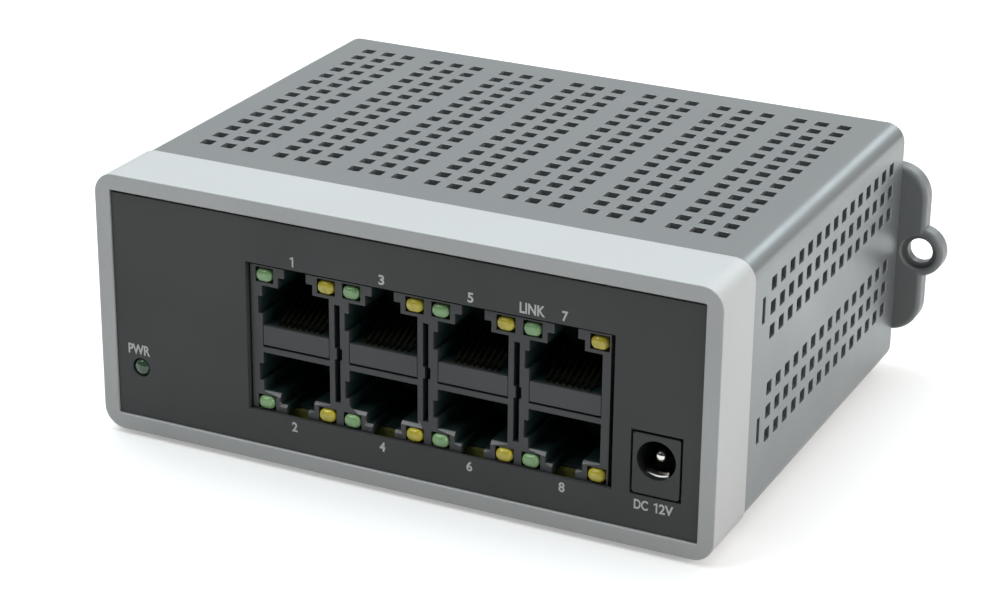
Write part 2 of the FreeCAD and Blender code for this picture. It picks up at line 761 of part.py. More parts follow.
def build_port_housing():
    """Moulded block with two rows of sockets, lamp pockets and slits between the columns."""
    body = new_body("port_housing")
    block_half = f"({PORT_COLUMNS} / 2 * port_pitch)"
    mould = front_sketch(body, BLOCK_FRONT)
    rectangle(
        mould, f"port_centre - block_shift - {block_half}", f"port_centre - block_shift + {block_half}",
        BOARD_TOP, f"{BOARD_TOP} + block_height",
    )
    pad(mould, "block_depth")
    columns = ("X_Axis", PORT_COLUMNS, "port_pitch")
    sockets = front_sketch(body, BLOCK_FRONT)
    polygon(sockets, socket_outline("+"))
    polygon(sockets, socket_outline("-"))
    repeat(pocket(sockets, "socket_depth"), columns)
    notches = front_sketch(body, BLOCK_FRONT)
    for up in "+-":
        inner = f"{BLOCK_MIDDLE} {up} (block_height / 2 - latch_wall)"
        outer = f"{BLOCK_MIDDLE} {up} (block_height / 2 + latch_overcut)"
        polygon(notches, [
            (f"{FIRST_PORT} - latch_width / 2", inner),
            (f"{FIRST_PORT} + latch_width / 2", inner),
            (f"{FIRST_PORT} + latch_width / 2", outer),
            (f"{FIRST_PORT} - latch_width / 2", outer),
        ])
    repeat(pocket(notches, "latch_notch"), columns)
    carrier_seat = front_sketch(body, BLOCK_FRONT)
    rectangle(
        carrier_seat, f"{FIRST_PORT} - socket_width / 2", f"{FIRST_PORT} + socket_width / 2",
        CROSSBAR_TOP, CARRIER_TOP,
    )
    repeat(pocket(carrier_seat, "socket_depth"), columns)
    lamps = front_sketch(body, BLOCK_FRONT)
    for x, z in lamp_spots(FIRST_PORT):
        half_width = "(lamp_width / 2 + lamp_clearance)"
        half_height = "(lamp_height / 2 + lamp_clearance)"
        rectangle(
            lamps, f"{x} - {half_width}", f"{x} + {half_width}", f"{z} - {half_height}", f"{z} + {half_height}"
        )
    repeat(pocket(lamps, "lamp_length"), columns)
    slit = front_sketch(body, BLOCK_FRONT)
    left = f"({FIRST_PORT} + port_pitch / 2 - block_shift - slit_width / 2)"
    right = f"({left} + slit_width)"
    jog_top = f"({BLOCK_MIDDLE} + slit_jog_reach)"
    jog_bottom = f"({BLOCK_MIDDLE} - slit_jog_reach)"
    polygon(slit, [
        (left, f"{BLOCK_MIDDLE} + slit_reach"),
        (left, jog_top),
        (f"{left} + slit_jog", jog_top),
        (f"{left} + slit_jog", jog_bottom),
        (left, jog_bottom),
        (left, f"{BLOCK_MIDDLE} - slit_reach"),
        (right, f"{BLOCK_MIDDLE} - slit_reach"),
        (right, jog_bottom),
        (f"{right} + slit_jog", jog_bottom),
        (f"{right} + slit_jog", jog_top),
        (right, jog_top),
        (right, f"{BLOCK_MIDDLE} + slit_reach"),
    ])
    repeat(pocket(slit, "slit_depth"), ("X_Axis", PORT_COLUMNS - 1, "port_pitch"))
    return body


def lamp_spots(port):
    """Places of a column's four lamps: upper green, upper yellow, lower green, lower yellow."""
    return [
        (f"({port} {side} lamp_spread)", f"({BLOCK_MIDDLE} {up} lamp_offset)")
        for up in "+-"
        for side in "-+"
    ]


def column_centre(column):
    return f"({FIRST_PORT} + {column} * port_pitch)"


def build_contact_carriers():
    """The insert of each column, whose front band shows between its two sockets."""
    carriers = []
    for column in range(PORT_COLUMNS):
        body = new_body(f"contact_carrier_{column + 1}")
        port = column_centre(column)
        left = f"{port} - socket_width / 2 + carrier_clearance"
        right = f"{port} + socket_width / 2 - carrier_clearance"
        band = front_sketch(body, BLOCK_FRONT)
        rectangle(band, left, right, f"{CROSSBAR_TOP} + carrier_gap", CARRIER_TOP)
        pad(band, "carrier_lip")
        core = front_sketch(body, f"{BLOCK_FRONT} + carrier_lip")
        rectangle(core, left, right, CROSSBAR_TOP, CARRIER_TOP)
        pad(core, "socket_depth - carrier_lip")
        carriers.append(body)
    return carriers


def build_port_contacts():
    """Eight bent springs in each socket: they lie on its near wall and rise from it with a free end."""
    sets = []
    for column in range(PORT_COLUMNS):
        for row, up in enumerate("+-"):
            body = new_body(f"port_{2 * column + row + 1}_contacts")
            wall = f"({BLOCK_MIDDLE} {up} socket_near)"
            span = f"({CONTACTS_PER_PORT - 1} * contact_pitch)"
            spring = side_sketch(body, f"{column_centre(column)} - {span} / 2 - contact_width / 2")
            start = f"({BLOCK_FRONT} + contact_start)"
            bend = f"({BLOCK_FRONT} + contact_bend)"
            end = f"({BLOCK_FRONT} + contact_reach)"
            polygon(spring, [
                (start, wall),
                (bend, wall),
                (end, f"{wall} {up} contact_rise"),
                (end, f"{wall} {up} (contact_rise + contact_thickness)"),
                (bend, f"{wall} {up} contact_thickness"),
                (start, f"{wall} {up} contact_thickness"),
            ])
            repeat(pad(spring, "contact_width"), ("X_Axis", CONTACTS_PER_PORT, "contact_pitch"))
            sets.append(body)
    return sets


def build_port_lamps():
    """Green and yellow lamps in the corners of the sockets."""
    lamps = []
    for column in range(PORT_COLUMNS):
        spots = lamp_spots(column_centre(column))
        for place_in_column, (x, z) in enumerate(spots):
            colour = ("green", "yellow")[place_in_column % 2]
            port = 2 * column + place_in_column // 2 + 1
            body = new_body(f"{colour}_lamp_{port}")
            lens = front_sketch(body, LAMP_FRONT)
            rectangle(
                lens, f"{x} - lamp_width / 2", f"{x} + lamp_width / 2",
                f"{z} - lamp_height / 2", f"{z} + lamp_height / 2",
            )
            pad(lens, "lamp_proud + lamp_length")
            dress_edges(body, "Chamfer", "Size", "lamp_chamfer", lambda edge: lies_at(edge, y=LAMP_FRONT))
            lamps.append(body)
    return lamps


def build_jack_housing():
    """Barrel jack body: a nose in the faceplate's window, a wider body behind it, a round mouth."""
    body = new_body("jack_housing")
    nose = front_sketch(body, PLATE_FRONT)
    nose_bottom = f"({BOARD_TOP} + jack_nose_sill)"
    rectangle(
        nose, "jack_centre - jack_nose_width / 2", "jack_centre + jack_nose_width / 2",
        nose_bottom, f"{nose_bottom} + jack_nose_height",
    )
    shoulder = "(plate_thickness + jack_shoulder_gap)"
    pad(nose, shoulder)
    core = front_sketch(body, f"{PLATE_FRONT} + {shoulder}")
    rectangle(
        core, "jack_centre - jack_width / 2", "jack_centre + jack_width / 2",
        BOARD_TOP, f"{BOARD_TOP} + jack_height",
    )
    pad(core, f"jack_length - {shoulder}")
    mouth = front_sketch(body, PLATE_FRONT)
    circle(mouth, "jack_centre", JACK_AXIS, "jack_hole")
    pocket(mouth, "jack_hole_depth")
    return body


def build_jack_prong():
    """Round centre pin of the jack, with a bevelled tip."""
    body = new_body("jack_prong")
    tip = f"({PLATE_FRONT} + jack_prong_setback)"
    rod = front_sketch(body, tip)
    circle(rod, "jack_centre", JACK_AXIS, "jack_prong")
    pad(rod, "jack_hole_depth - jack_prong_setback")
    dress_edges(body, "Chamfer", "Size", "jack_prong_tip", lambda edge: lies_at(edge, y=tip))
    return body


def build_jack_spring():
    """Flat spring contact along the bottom of the jack's mouth."""
    body = new_body("jack_spring")
    strip = front_sketch(body, f"{PLATE_FRONT} + spring_setback")
    bottom = f"({JACK_AXIS} - jack_hole / 2 + spring_height)"
    rectangle(
        strip, "jack_centre - spring_width / 2", "jack_centre + spring_width / 2",
        bottom, f"{bottom} + spring_thickness",
    )
    pad(strip, "jack_hole_depth - spring_setback")
    return body


def build_power_lamp():
    """Round lamp behind its hole in the faceplate, and the spacer that holds it on the board."""
    body = new_body("power_lamp")
    lens = front_sketch(body, POWER_LAMP_FRONT)
    circle(lens, "-power_lamp_centre", POWER_LAMP_AXIS, "power_lamp_diameter")
    pad(lens, "power_lamp_length")
    dress_edges(body, "Chamfer", "Size", "power_lamp_bevel", lambda edge: lies_at(edge, y=POWER_LAMP_FRONT))
    spacer = block(
        "power_lamp_spacer", "-power_lamp_centre", f"{POWER_LAMP_END} + spacer_length / 2", BOARD_TOP,
        "spacer_width", "spacer_length", "(power_lamp_height + power_lamp_diameter / 2 + spacer_margin)",
    )
    return [body, spacer]


def build_heat_sink():
    """Finned block on the switch chip."""
    body = new_body("heat_sink")
    base = plan_sketch(body, CHIP_TOP)
    half = "(sink_side / 2)"
    rectangle(
        base, f"port_centre - {half}", f"port_centre + {half}", f"{CHIP_MIDDLE} - {half}", f"{CHIP_MIDDLE} + {half}"
    )
    pad(base, "sink_base")
    fin = plan_sketch(body, f"{CHIP_TOP} + sink_base")
    rectangle(
        fin, f"port_centre - {half}", f"port_centre - {half} + fin_thickness",
        f"{CHIP_MIDDLE} - {half}", f"{CHIP_MIDDLE} + {half}",
    )
    fins = pad(fin, "sink_height - sink_base")
    repeat(fins, ("X_Axis", FINS, f"(sink_side - fin_thickness) / {FINS - 1}"))
    return body


def build_board_components():
    """Chips, transformers and supply components that stand on the board."""
    parts = []
    row = f"({BLOCK_BACK} + transformer_gap + transformer_length / 2)"
    for column in range(PORT_COLUMNS):
        parts.append(block(
            f"line_transformer_{column + 1}", column_centre(column), row, BOARD_TOP,
            "transformer_width", "transformer_length", "transformer_height",
        ))
    parts.append(block(
        "switch_chip", "port_centre", CHIP_MIDDLE, BOARD_TOP, "chip_side", "chip_side", "chip_height"
    ))
    parts.append(block(
        "crystal", "-crystal_centre", CHIP_MIDDLE, BOARD_TOP, "crystal_width", "crystal_length", "crystal_height"
    ))
    supply_row = f"({FRONT} + inductor_setback)"
    parts.append(block(
        "power_inductor", "supply_centre", supply_row, BOARD_TOP,
        "inductor_side", "inductor_side", "inductor_height",
    ))
    parts.append(block(
        "regulator_chip", "regulator_centre", supply_row, BOARD_TOP,
        "regulator_width", "regulator_length", "regulator_height",
    ))
    for name in ("input_capacitor", "output_capacitor"):
        can = doc.addObject("Part::Cylinder", name)
        can.Label = name
        can.setExpression("Radius", formula("capacitor_diameter / 2"))
        can.setExpression("Height", formula("capacitor_height"))
        place(can, "supply_centre", f"{FRONT} + {name}_setback", BOARD_TOP)
        parts.append(can)
    return parts


sub_parts = [
    build_front_bezel(),
    build_faceplate(),
    build_perforated_cover(),
    build_base_pan(),
    build_mounting_bracket(),
    build_circuit_board(),
    *build_all_screws(),
    build_board_standoffs(),
    *build_feet(),
    build_port_housing(),
    *build_contact_carriers(),
    *build_port_contacts(),
    *build_port_lamps(),
    build_jack_housing(),
    build_jack_prong(),
    build_jack_spring(),
    *build_power_lamp(),
    build_heat_sink(),
    *build_board_components(),
]
doc.recompute()

failed = [item.Name for item in doc.Objects if {"Invalid", "Error"} & set(item.State)]
if failed:
    raise RuntimeError(f"not built: {failed}")
for sub_part in sub_parts:
    if sub_part.Shape.isNull() or not sub_part.Shape.isValid():
        raise RuntimeError(f"no valid shape: {sub_part.Label}")

os.makedirs("parts", exist_ok=True)
for sub_part in sub_parts:
    sub_part.Shape.exportStep(f"parts/{sub_part.Label}.step")
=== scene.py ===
"""Dresses the compact ethernet switch: finishes, fine shapes, markings, studio and camera."""
import logging
import math
from dataclasses import dataclass
from enum import Enum
from itertools import accumulate
from typing import Callable, Iterable, Sequence

import bmesh
import bpy
from mathutils import Matrix, Vector


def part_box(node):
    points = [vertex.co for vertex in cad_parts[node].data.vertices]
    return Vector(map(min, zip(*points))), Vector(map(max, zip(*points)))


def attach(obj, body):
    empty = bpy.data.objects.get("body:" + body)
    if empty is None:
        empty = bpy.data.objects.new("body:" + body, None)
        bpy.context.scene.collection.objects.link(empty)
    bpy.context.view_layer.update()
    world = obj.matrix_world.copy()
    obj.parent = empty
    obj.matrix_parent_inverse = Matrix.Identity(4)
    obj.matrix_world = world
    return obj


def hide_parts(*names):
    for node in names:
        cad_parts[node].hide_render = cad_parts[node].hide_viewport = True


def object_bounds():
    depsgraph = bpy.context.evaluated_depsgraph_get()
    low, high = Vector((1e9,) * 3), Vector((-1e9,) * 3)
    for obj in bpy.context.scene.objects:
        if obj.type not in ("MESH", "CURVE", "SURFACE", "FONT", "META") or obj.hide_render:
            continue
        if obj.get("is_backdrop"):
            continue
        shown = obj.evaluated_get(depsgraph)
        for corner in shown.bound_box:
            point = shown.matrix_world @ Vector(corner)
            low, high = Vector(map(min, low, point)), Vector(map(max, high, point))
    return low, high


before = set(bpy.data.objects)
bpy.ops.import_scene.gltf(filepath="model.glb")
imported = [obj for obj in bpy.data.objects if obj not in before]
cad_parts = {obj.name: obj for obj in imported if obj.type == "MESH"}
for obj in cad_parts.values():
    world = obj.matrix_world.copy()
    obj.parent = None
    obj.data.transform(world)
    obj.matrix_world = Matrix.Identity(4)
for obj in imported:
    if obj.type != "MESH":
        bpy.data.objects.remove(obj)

LOG = logging.getLogger("ethernet_switch")
CAD_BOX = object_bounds()
BODY = "root"
# Face attribute with each ramp face's share of painted highlight.
RAMP_HIGHLIGHT = "ramp"

# Sizes of pieces are in millimetres and angles in degrees; gaps, finishes, lamps and meshes use metres.
MM = 0.001
MERGE_GAP = 1e-6
SAME_PLACE = 10 * MERGE_GAP
FLAT_ANGLE = 1.0
ROUND_ANGLE = 60.0
FACE_WEIGHT = 100
FINE_DETAIL = 2.0
BROAD_DETAIL = 3.0
NOISE_RANGE = (0.25, 0.75)
EVEN = (1.0, 1.0, 1.0)
WHITE = (1.0, 1.0, 1.0)

Flat = tuple[float, float]
Triple = tuple[float, float, float]
Loop = list[Vector]
Verts = list[bmesh.types.BMVert]
Piece = bpy.types.Object
Socket = bpy.types.NodeSocket
Run = tuple[int, Sequence[float]]
Ramps = Iterable[tuple[list[bmesh.types.BMEdge], float, float]]

ONCE: Run = (1, (0.0, 0.0, 0.0))


class Side(Enum):
    """The two sides of the case, as the sign of X."""

    LEFT = -1
    RIGHT = 1


class Row(Enum):
    """The two rows of sockets, as the sign of Z away from the block's middle."""

    UPPER = 1
    LOWER = -1


class NodeBoard:
    """A node tree that is built with short calls."""

    def __init__(self, tree: bpy.types.NodeTree) -> None:
        """Takes the tree to build in."""
        self.tree = tree

    def node(self, kind: str, inputs: dict | None = None, **settings: object) -> bpy.types.Node:
        """Adds a node.

        Args:
            kind: The node's Blender type.
            inputs: Socket name or index to a plain value or to an output socket.
            settings: Properties of the node itself.

        Returns:
            The new node.
        """
        made = self.tree.nodes.new(kind)
        for key, value in settings.items():
            setattr(made, key, value)
        for key, value in (inputs or {}).items():
            if isinstance(value, Socket):
                self.tree.links.new(value, made.inputs[key])
            else:
                made.inputs[key].default_value = value
        return made

    def maths(self, operation: str, *values: Socket) -> Socket:
        """Adds a number operation on the given sockets."""
        return self.node("ShaderNodeMath", dict(enumerate(values)), operation=operation).outputs[0]


class ShaderBoard(NodeBoard):
    """The shader nodes of a material or of the surroundings."""

    def __init__(self, owner: bpy.types.Material | bpy.types.World) -> None:
        """Clears the owner's nodes and adds its output.

        Args:
            owner: The new material or world.
        """
        owner.use_nodes = True
        super().__init__(owner.node_tree)
        self.tree.nodes.clear()
        self.owner = owner
        self.output = self.node(f"ShaderNodeOutput{type(owner).__name__}")

    def noise(self, scale: float, detail: float, stretch: Sequence[float] = EVEN) -> Socket:
        """Adds a noise on the object's own coordinates.

        Args:
            scale: Cells in a metre.
            detail: Octaves of finer noise.
            stretch: Factors on the three coordinates.

        Returns:
            The noise's value.
        """
        place = self.node("ShaderNodeTexCoord").outputs["Object"]
        mapped = self.node("ShaderNodeMapping", {"Vector": place, "Scale": tuple(stretch)}).outputs[0]
        made = self.node("ShaderNodeTexNoise", {"Vector": mapped, "Scale": scale, "Detail": detail})
        return made.outputs[0]

    def span(self, value: Socket, start: Flat, end: Flat) -> Socket:
        """Maps a value from one range to another."""
        return self.node("ShaderNodeMapRange", dict(enumerate((value, *start, *end)))).outputs[0]

    def mix(self, share: Socket | float, one: object, two: object, blend: str = "MIX") -> Socket:
        """Mixes two colours by a share, through the mixer's colour sockets."""
        inputs = {0: share, 6: one, 7: two}
        return self.node("ShaderNodeMix", inputs, data_type="RGBA", blend_type=blend).outputs[2]

    def vary(self, share: Socket, colour: Sequence[float], spread: float) -> Socket:
        """Varies a colour's brightness by a share, from darker to lighter."""
        return self.mix(share, shade(colour, 1.0 - spread), shade(colour, 1.0 + spread))

    def close(self, shader: bpy.types.Node) -> bpy.types.Material | bpy.types.World:
        """Joins the last shader to the output and gives the owner."""
        self.tree.links.new(shader.outputs[0], self.output.inputs["Surface"])
        return self.owner


def shade(colour: Sequence[float], factor: float) -> tuple[float, float, float, float]:
    """Scales a colour and adds its alpha."""
    return tuple(min(1.0, channel * factor) for channel in colour) + (1.0,)


@dataclass(frozen=True)
class Finish:
    """A solid surface: speckled colour, uneven gloss and a fine moulded or painted grain."""

    name: str
    colour: Triple
    roughness: float
    metallic: float = 0.0
    specular: float = 0.5
    speckle: float = 0.05
    speckle_scale: float = 5000.0
    mottle: float = 0.04
    mottle_scale: float = 60.0
    grain: float = 0.08
    grain_scale: float = 2600.0
    grain_depth: float = 0.00004
    gloss_spread: float = 0.08
    stretch: Triple = EVEN
    coat: float = 0.0

    def tint(self, sheet: ShaderBoard, colour: Socket) -> Socket:
        """Gives the colour, which other finishes change by place."""
        return colour

    def material(self) -> bpy.types.Material:
        """Builds the material from noises at three scales.

        Returns:
            The material.
        """
        sheet = ShaderBoard(bpy.data.materials.new(self.name))
        fine = sheet.noise(self.speckle_scale, FINE_DETAIL, self.stretch)
        broad = sheet.noise(self.mottle_scale, BROAD_DETAIL)
        flecked = sheet.vary(fine, self.colour, self.speckle)
        clouded = sheet.mix(broad, shade(WHITE, 1.0 - self.mottle), shade(WHITE, 1.0))
        colour = sheet.mix(1.0, flecked, clouded, "MULTIPLY")
        grain = sheet.noise(self.grain_scale, BROAD_DETAIL, self.stretch)
        bumps = {"Strength": self.grain, "Distance": self.grain_depth, "Height": grain}
        gloss = (self.roughness - self.gloss_spread, self.roughness + self.gloss_spread)
        return sheet.close(sheet.node("ShaderNodeBsdfPrincipled", {
            "Base Color": self.tint(sheet, colour), "Roughness": sheet.span(broad, NOISE_RANGE, gloss),
            "Metallic": self.metallic, "Specular IOR Level": self.specular, "Coat Weight": self.coat,
            "Normal": sheet.node("ShaderNodeBump", bumps).outputs[0],
        }))


@dataclass(frozen=True)
class SocketFinish(Finish):
    """Moulding with painted shade inside its sockets and a painted highlight on their lead-in ramps."""

    front: float = -40.9
    rim: float = 0.15
    reach: float = 1.1
    # Painted shade: the colour that the sockets darken to behind their mouth.
    inside: Triple = (0.013, 0.032, 0.031)
    # Painted highlight: the pale colour of the lead-in ramps, which stands for light falling on them.
    ramp: Triple = (0.34, 0.34, 0.335)

    def tint(self, sheet: ShaderBoard, colour: Socket) -> Socket:
        """Paints shade on the colour behind the front, and a highlight where the mesh has its ramps.

        Args:
            sheet: The material's nodes.
            colour: The moulding's own colour.

        Returns:
            The changed colour.
        """
        place = sheet.node("ShaderNodeTexCoord").outputs["Object"]
        depth = sheet.node("ShaderNodeSeparateXYZ", {0: place}).outputs["Y"]
        # Painted shade: from the rim to the reach behind the front, the colour fades to the inside colour.
        mouth = ((self.front + self.rim) * MM, (self.front + self.reach) * MM)
        dark = sheet.mix(sheet.span(depth, mouth, (1.0, 0.0)), shade(self.inside, 1.0), colour)
        # Painted highlight: faces marked as ramps turn pale by their mark's share.
        painted_highlight_share = sheet.node("ShaderNodeAttribute", attribute_name=RAMP_HIGHLIGHT).outputs["Fac"]
        return sheet.mix(painted_highlight_share, dark, shade(self.ramp, 1.0))


@dataclass(frozen=True)
class LensFinish:
    """Tinted lamp plastic that lets light into its depth."""

    name: str
    colour: Triple
    roughness: float = 0.22
    specular: float = 0.5
    coat: float = 0.3
    milk: float = 0.6
    depth: float = 0.0008
    least_radius: float = 0.1
    cloud: float = 0.2
    cloud_scale: float = 900.0

    def material(self) -> bpy.types.Material:
        """Builds the material, a little cloudy inside.

        Returns:
            The material.
        """
        sheet = ShaderBoard(bpy.data.materials.new(self.name))
        cloud = sheet.noise(self.cloud_scale, FINE_DETAIL)
        colour = sheet.vary(cloud, self.colour, self.cloud)
        return sheet.close(sheet.node("ShaderNodeBsdfPrincipled", {
            "Base Color": colour, "Roughness": self.roughness, "Specular IOR Level": self.specular,
            "Coat Weight": self.coat, "Subsurface Weight": self.milk, "Subsurface Scale": self.depth,
            "Subsurface Radius": tuple(max(self.least_radius, channel) for channel in self.colour),
        }))


AnyFinish = Finish | LensFinish

SILVER_MOULDING = Finish(
    "silver_moulding", (0.575, 0.583, 0.58), 0.46, metallic=0.1, specular=0.45, speckle_scale=4200.0,
    mottle=0.03, grain=0.12,
)
GREY_SHEET = Finish(
    "grey_painted_sheet", (0.245, 0.259, 0.263), 0.36, metallic=0.5, speckle=0.07, speckle_scale=3200.0,
    mottle=0.05, mottle_scale=45.0, grain=0.16, grain_scale=2400.0,
)
DARK_INLAY = Finish(
    "dark_inlay", (0.078, 0.078, 0.079), 0.55, specular=0.3, speckle=0.06, speckle_scale=5200.0,
    mottle=0.05, grain=0.2, grain_scale=5200.0,
)
BRACKET_PLASTIC = Finish(
    "bracket_moulding", (0.2, 0.21, 0.212), 0.38, specular=0.6, speckle=0.1, grain=0.2, grain_scale=2200.0,
)
# Both socket mouldings carry painted shade inside the sockets and a painted highlight on the ramps.
SOCKET_PLASTIC = SocketFinish(
    "socket_moulding", (0.06, 0.061, 0.064), 0.5, speckle=0.06, grain=0.1, grain_scale=4000.0,
)
CARRIER_PLASTIC = SocketFinish(
    "carrier_moulding", (0.066, 0.067, 0.07), 0.5, speckle=0.06, grain=0.1, grain_scale=4000.0,
)
BLACK_PLASTIC = Finish(
    "black_moulding", (0.016, 0.019, 0.019), 0.42, speckle=0.08, grain=0.1, grain_scale=3500.0,
)
PACKAGE_PLASTIC = Finish("chip_package", (0.02, 0.02, 0.021), 0.6, grain=0.2, grain_scale=6000.0)
FERRITE = Finish("ferrite", (0.05, 0.05, 0.052), 0.6, grain=0.3, grain_scale=3000.0)
RUBBER = Finish("foot_rubber", (0.02, 0.02, 0.02), 0.75, specular=0.25, grain=0.3, grain_scale=3200.0)
# Painted shade: the gold is darkened far below its own colour, as the contacts sit in the sockets' shade.
SHADE_DARKENED_GOLD = Finish("shade_darkened_gold_plate", (0.05, 0.043, 0.028), 0.55, metallic=1.0, grain=0.05, stretch=(1.0, 0.1, 1.0))
BRIGHT_PLATE = Finish("bright_plate", (0.72, 0.70, 0.66), 0.16, metallic=1.0, grain=0.05)
ZINC = Finish(
    "zinc_plate", (0.55, 0.56, 0.57), 0.32, metallic=1.0, mottle=0.12, mottle_scale=500.0, grain=0.1,
)
BRASS = Finish("turned_brass", (0.70, 0.52, 0.22), 0.3, metallic=1.0, stretch=(1.0, 1.0, 8.0))
ALUMINIUM = Finish("extruded_aluminium", (0.70, 0.70, 0.71), 0.35, metallic=1.0, stretch=(1.0, 0.05, 1.0))
SOLDER_MASK = Finish("solder_mask", (0.2, 0.21, 0.055), 0.35, speckle=0.2, speckle_scale=900.0, coat=0.3)
PRINT = Finish("light_print", (0.78, 0.78, 0.77), 0.6, specular=0.3, speckle=0.08, speckle_scale=9000.0)
GREEN_LENS = LensFinish("green_lens", (0.33, 0.57, 0.26))
YELLOW_LENS = LensFinish("yellow_lens", (0.74, 0.63, 0.06))
POWER_LENS = LensFinish("power_lens", (0.06, 0.13, 0.07), 0.10, coat=0.4)

# Each solid takes the first finish here that its name starts with.
NODE_FINISHES: dict[str, AnyFinish] = {
    "front_bezel": SILVER_MOULDING, "perforated_cover": GREY_SHEET, "base_pan": GREY_SHEET,
    "faceplate": DARK_INLAY, "mounting_bracket": BRACKET_PLASTIC, "foot_": RUBBER,
    "cover_screws": ZINC, "board_screws": ZINC, "bracket_screws": ZINC, "board_standoffs": BRASS,
    "circuit_board": SOLDER_MASK, "port_housing": SOCKET_PLASTIC, "contact_carrier_": CARRIER_PLASTIC,
    "port_": SHADE_DARKENED_GOLD, "green_lamp_": GREEN_LENS, "yellow_lamp_": YELLOW_LENS,
    "jack_housing": BLACK_PLASTIC, "jack_": BRIGHT_PLATE,
    "power_lamp_spacer": BLACK_PLASTIC, "power_lamp": POWER_LENS, "power_inductor": FERRITE,
    "heat_sink": ALUMINIUM, "input_capacitor": ALUMINIUM, "output_capacitor": ALUMINIUM, "crystal": ZINC,
    "switch_chip": PACKAGE_PLASTIC, "regulator_chip": PACKAGE_PLASTIC, "line_transformer_": PACKAGE_PLASTIC,
}


class Wardrobe:
    """Keeps one Blender material for each finish."""

    def __init__(self) -> None:
        """Starts with nothing made."""
        self.made: dict[str, bpy.types.Material] = {}

    def of(self, finish: AnyFinish) -> bpy.types.Material:
        """Gives the finish's material, made at its first use.

        Args:
            finish: What the surface is made of.

        Returns:
            The one material of that finish.
        """
        if finish.name not in self.made:
            self.made[finish.name] = finish.material()
        return self.made[finish.name]

    def dress(self, piece: Piece, finish: AnyFinish) -> None:
        """Makes a finish the piece's only material."""
        piece.data.materials.clear()
        piece.data.materials.append(self.of(finish))


WARDROBE = Wardrobe()


def dress_solids() -> None:
    """Gives every solid that stays in sight, or can be seen through a vent, its finish."""
    for name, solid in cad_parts.items():
        WARDROBE.dress(solid, next(kind for start, kind in NODE_FINISHES.items() if name.startswith(start)))


def node_box(node: str) -> tuple[Vector, Vector]:
    """Gives a solid's lowest and highest corner in millimetres."""
    low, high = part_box(node)
    return low / MM, high / MM


def node_middle(node: str) -> Vector:
    """Gives the middle of a solid's box in millimetres."""
    low, high = node_box(node)
    return (low + high) / 2


def rounded_outline(
    half: float, low: float, high: float, radius: float, steps: int = 10, middle: float = 0.0
) -> list[Flat]:
    """Draws a rounded rectangle.

    Args:
        half: Half its width.
        low: Its lowest height.
        high: Its highest height.
        radius: Its corner radius.
        steps: Segments in each corner.
        middle: Its middle in X.

    Returns:
        Pairs of X and Z, counter-clockwise seen from the front.
    """
    corners = (
        (half - radius, low + radius, -90), (half - radius, high - radius, 0),
        (radius - half, high - radius, 90), (radius - half, low + radius, 180),
    )
    return [
        (middle + x + radius * math.cos(turn), z + radius * math.sin(turn))
        for x, z, start in corners
        for turn in (math.radians(start + 90 * step / steps) for step in range(steps + 1))
    ]


def ring_outline(x: float, z: float, radius: float, steps: int) -> list[Flat]:
    """Draws a circle as pairs of X and Z, counter-clockwise seen from the front."""
    turns = (2 * math.pi * step / steps for step in range(steps))
    return [(x + radius * math.cos(turn), z + radius * math.sin(turn)) for turn in turns]


def quarter_round(radius: float, steps: int) -> list[Flat]:
    """Gives a rounded edge as pairs of inset and depth, from the front face to the side."""
    turns = (math.pi / 2 * step / steps for step in range(steps + 1))
    return [(radius * (1 - math.sin(turn)), radius * (1 - math.cos(turn))) for turn in turns]


def upright(outline: Iterable[Flat], y: float) -> Loop:
    """Stands a flat outline up at one depth."""
    return [Vector((x, y, z)) for x, z in outline]


def level(outline: Iterable[Flat], z: float) -> Loop:
    """Lays a flat outline at one height."""
    return [Vector((x, y, z)) for x, y in outline]


def as_object(name: str, data: bpy.types.ID) -> Piece:
    """Puts a mesh, letters, a lamp or a camera in the scene.

    Args:
        name: The object's name.
        data: What it shows.

    Returns:
        The object.
    """
    made = bpy.data.objects.new(name, data)
    bpy.context.scene.collection.objects.link(made)
    return made


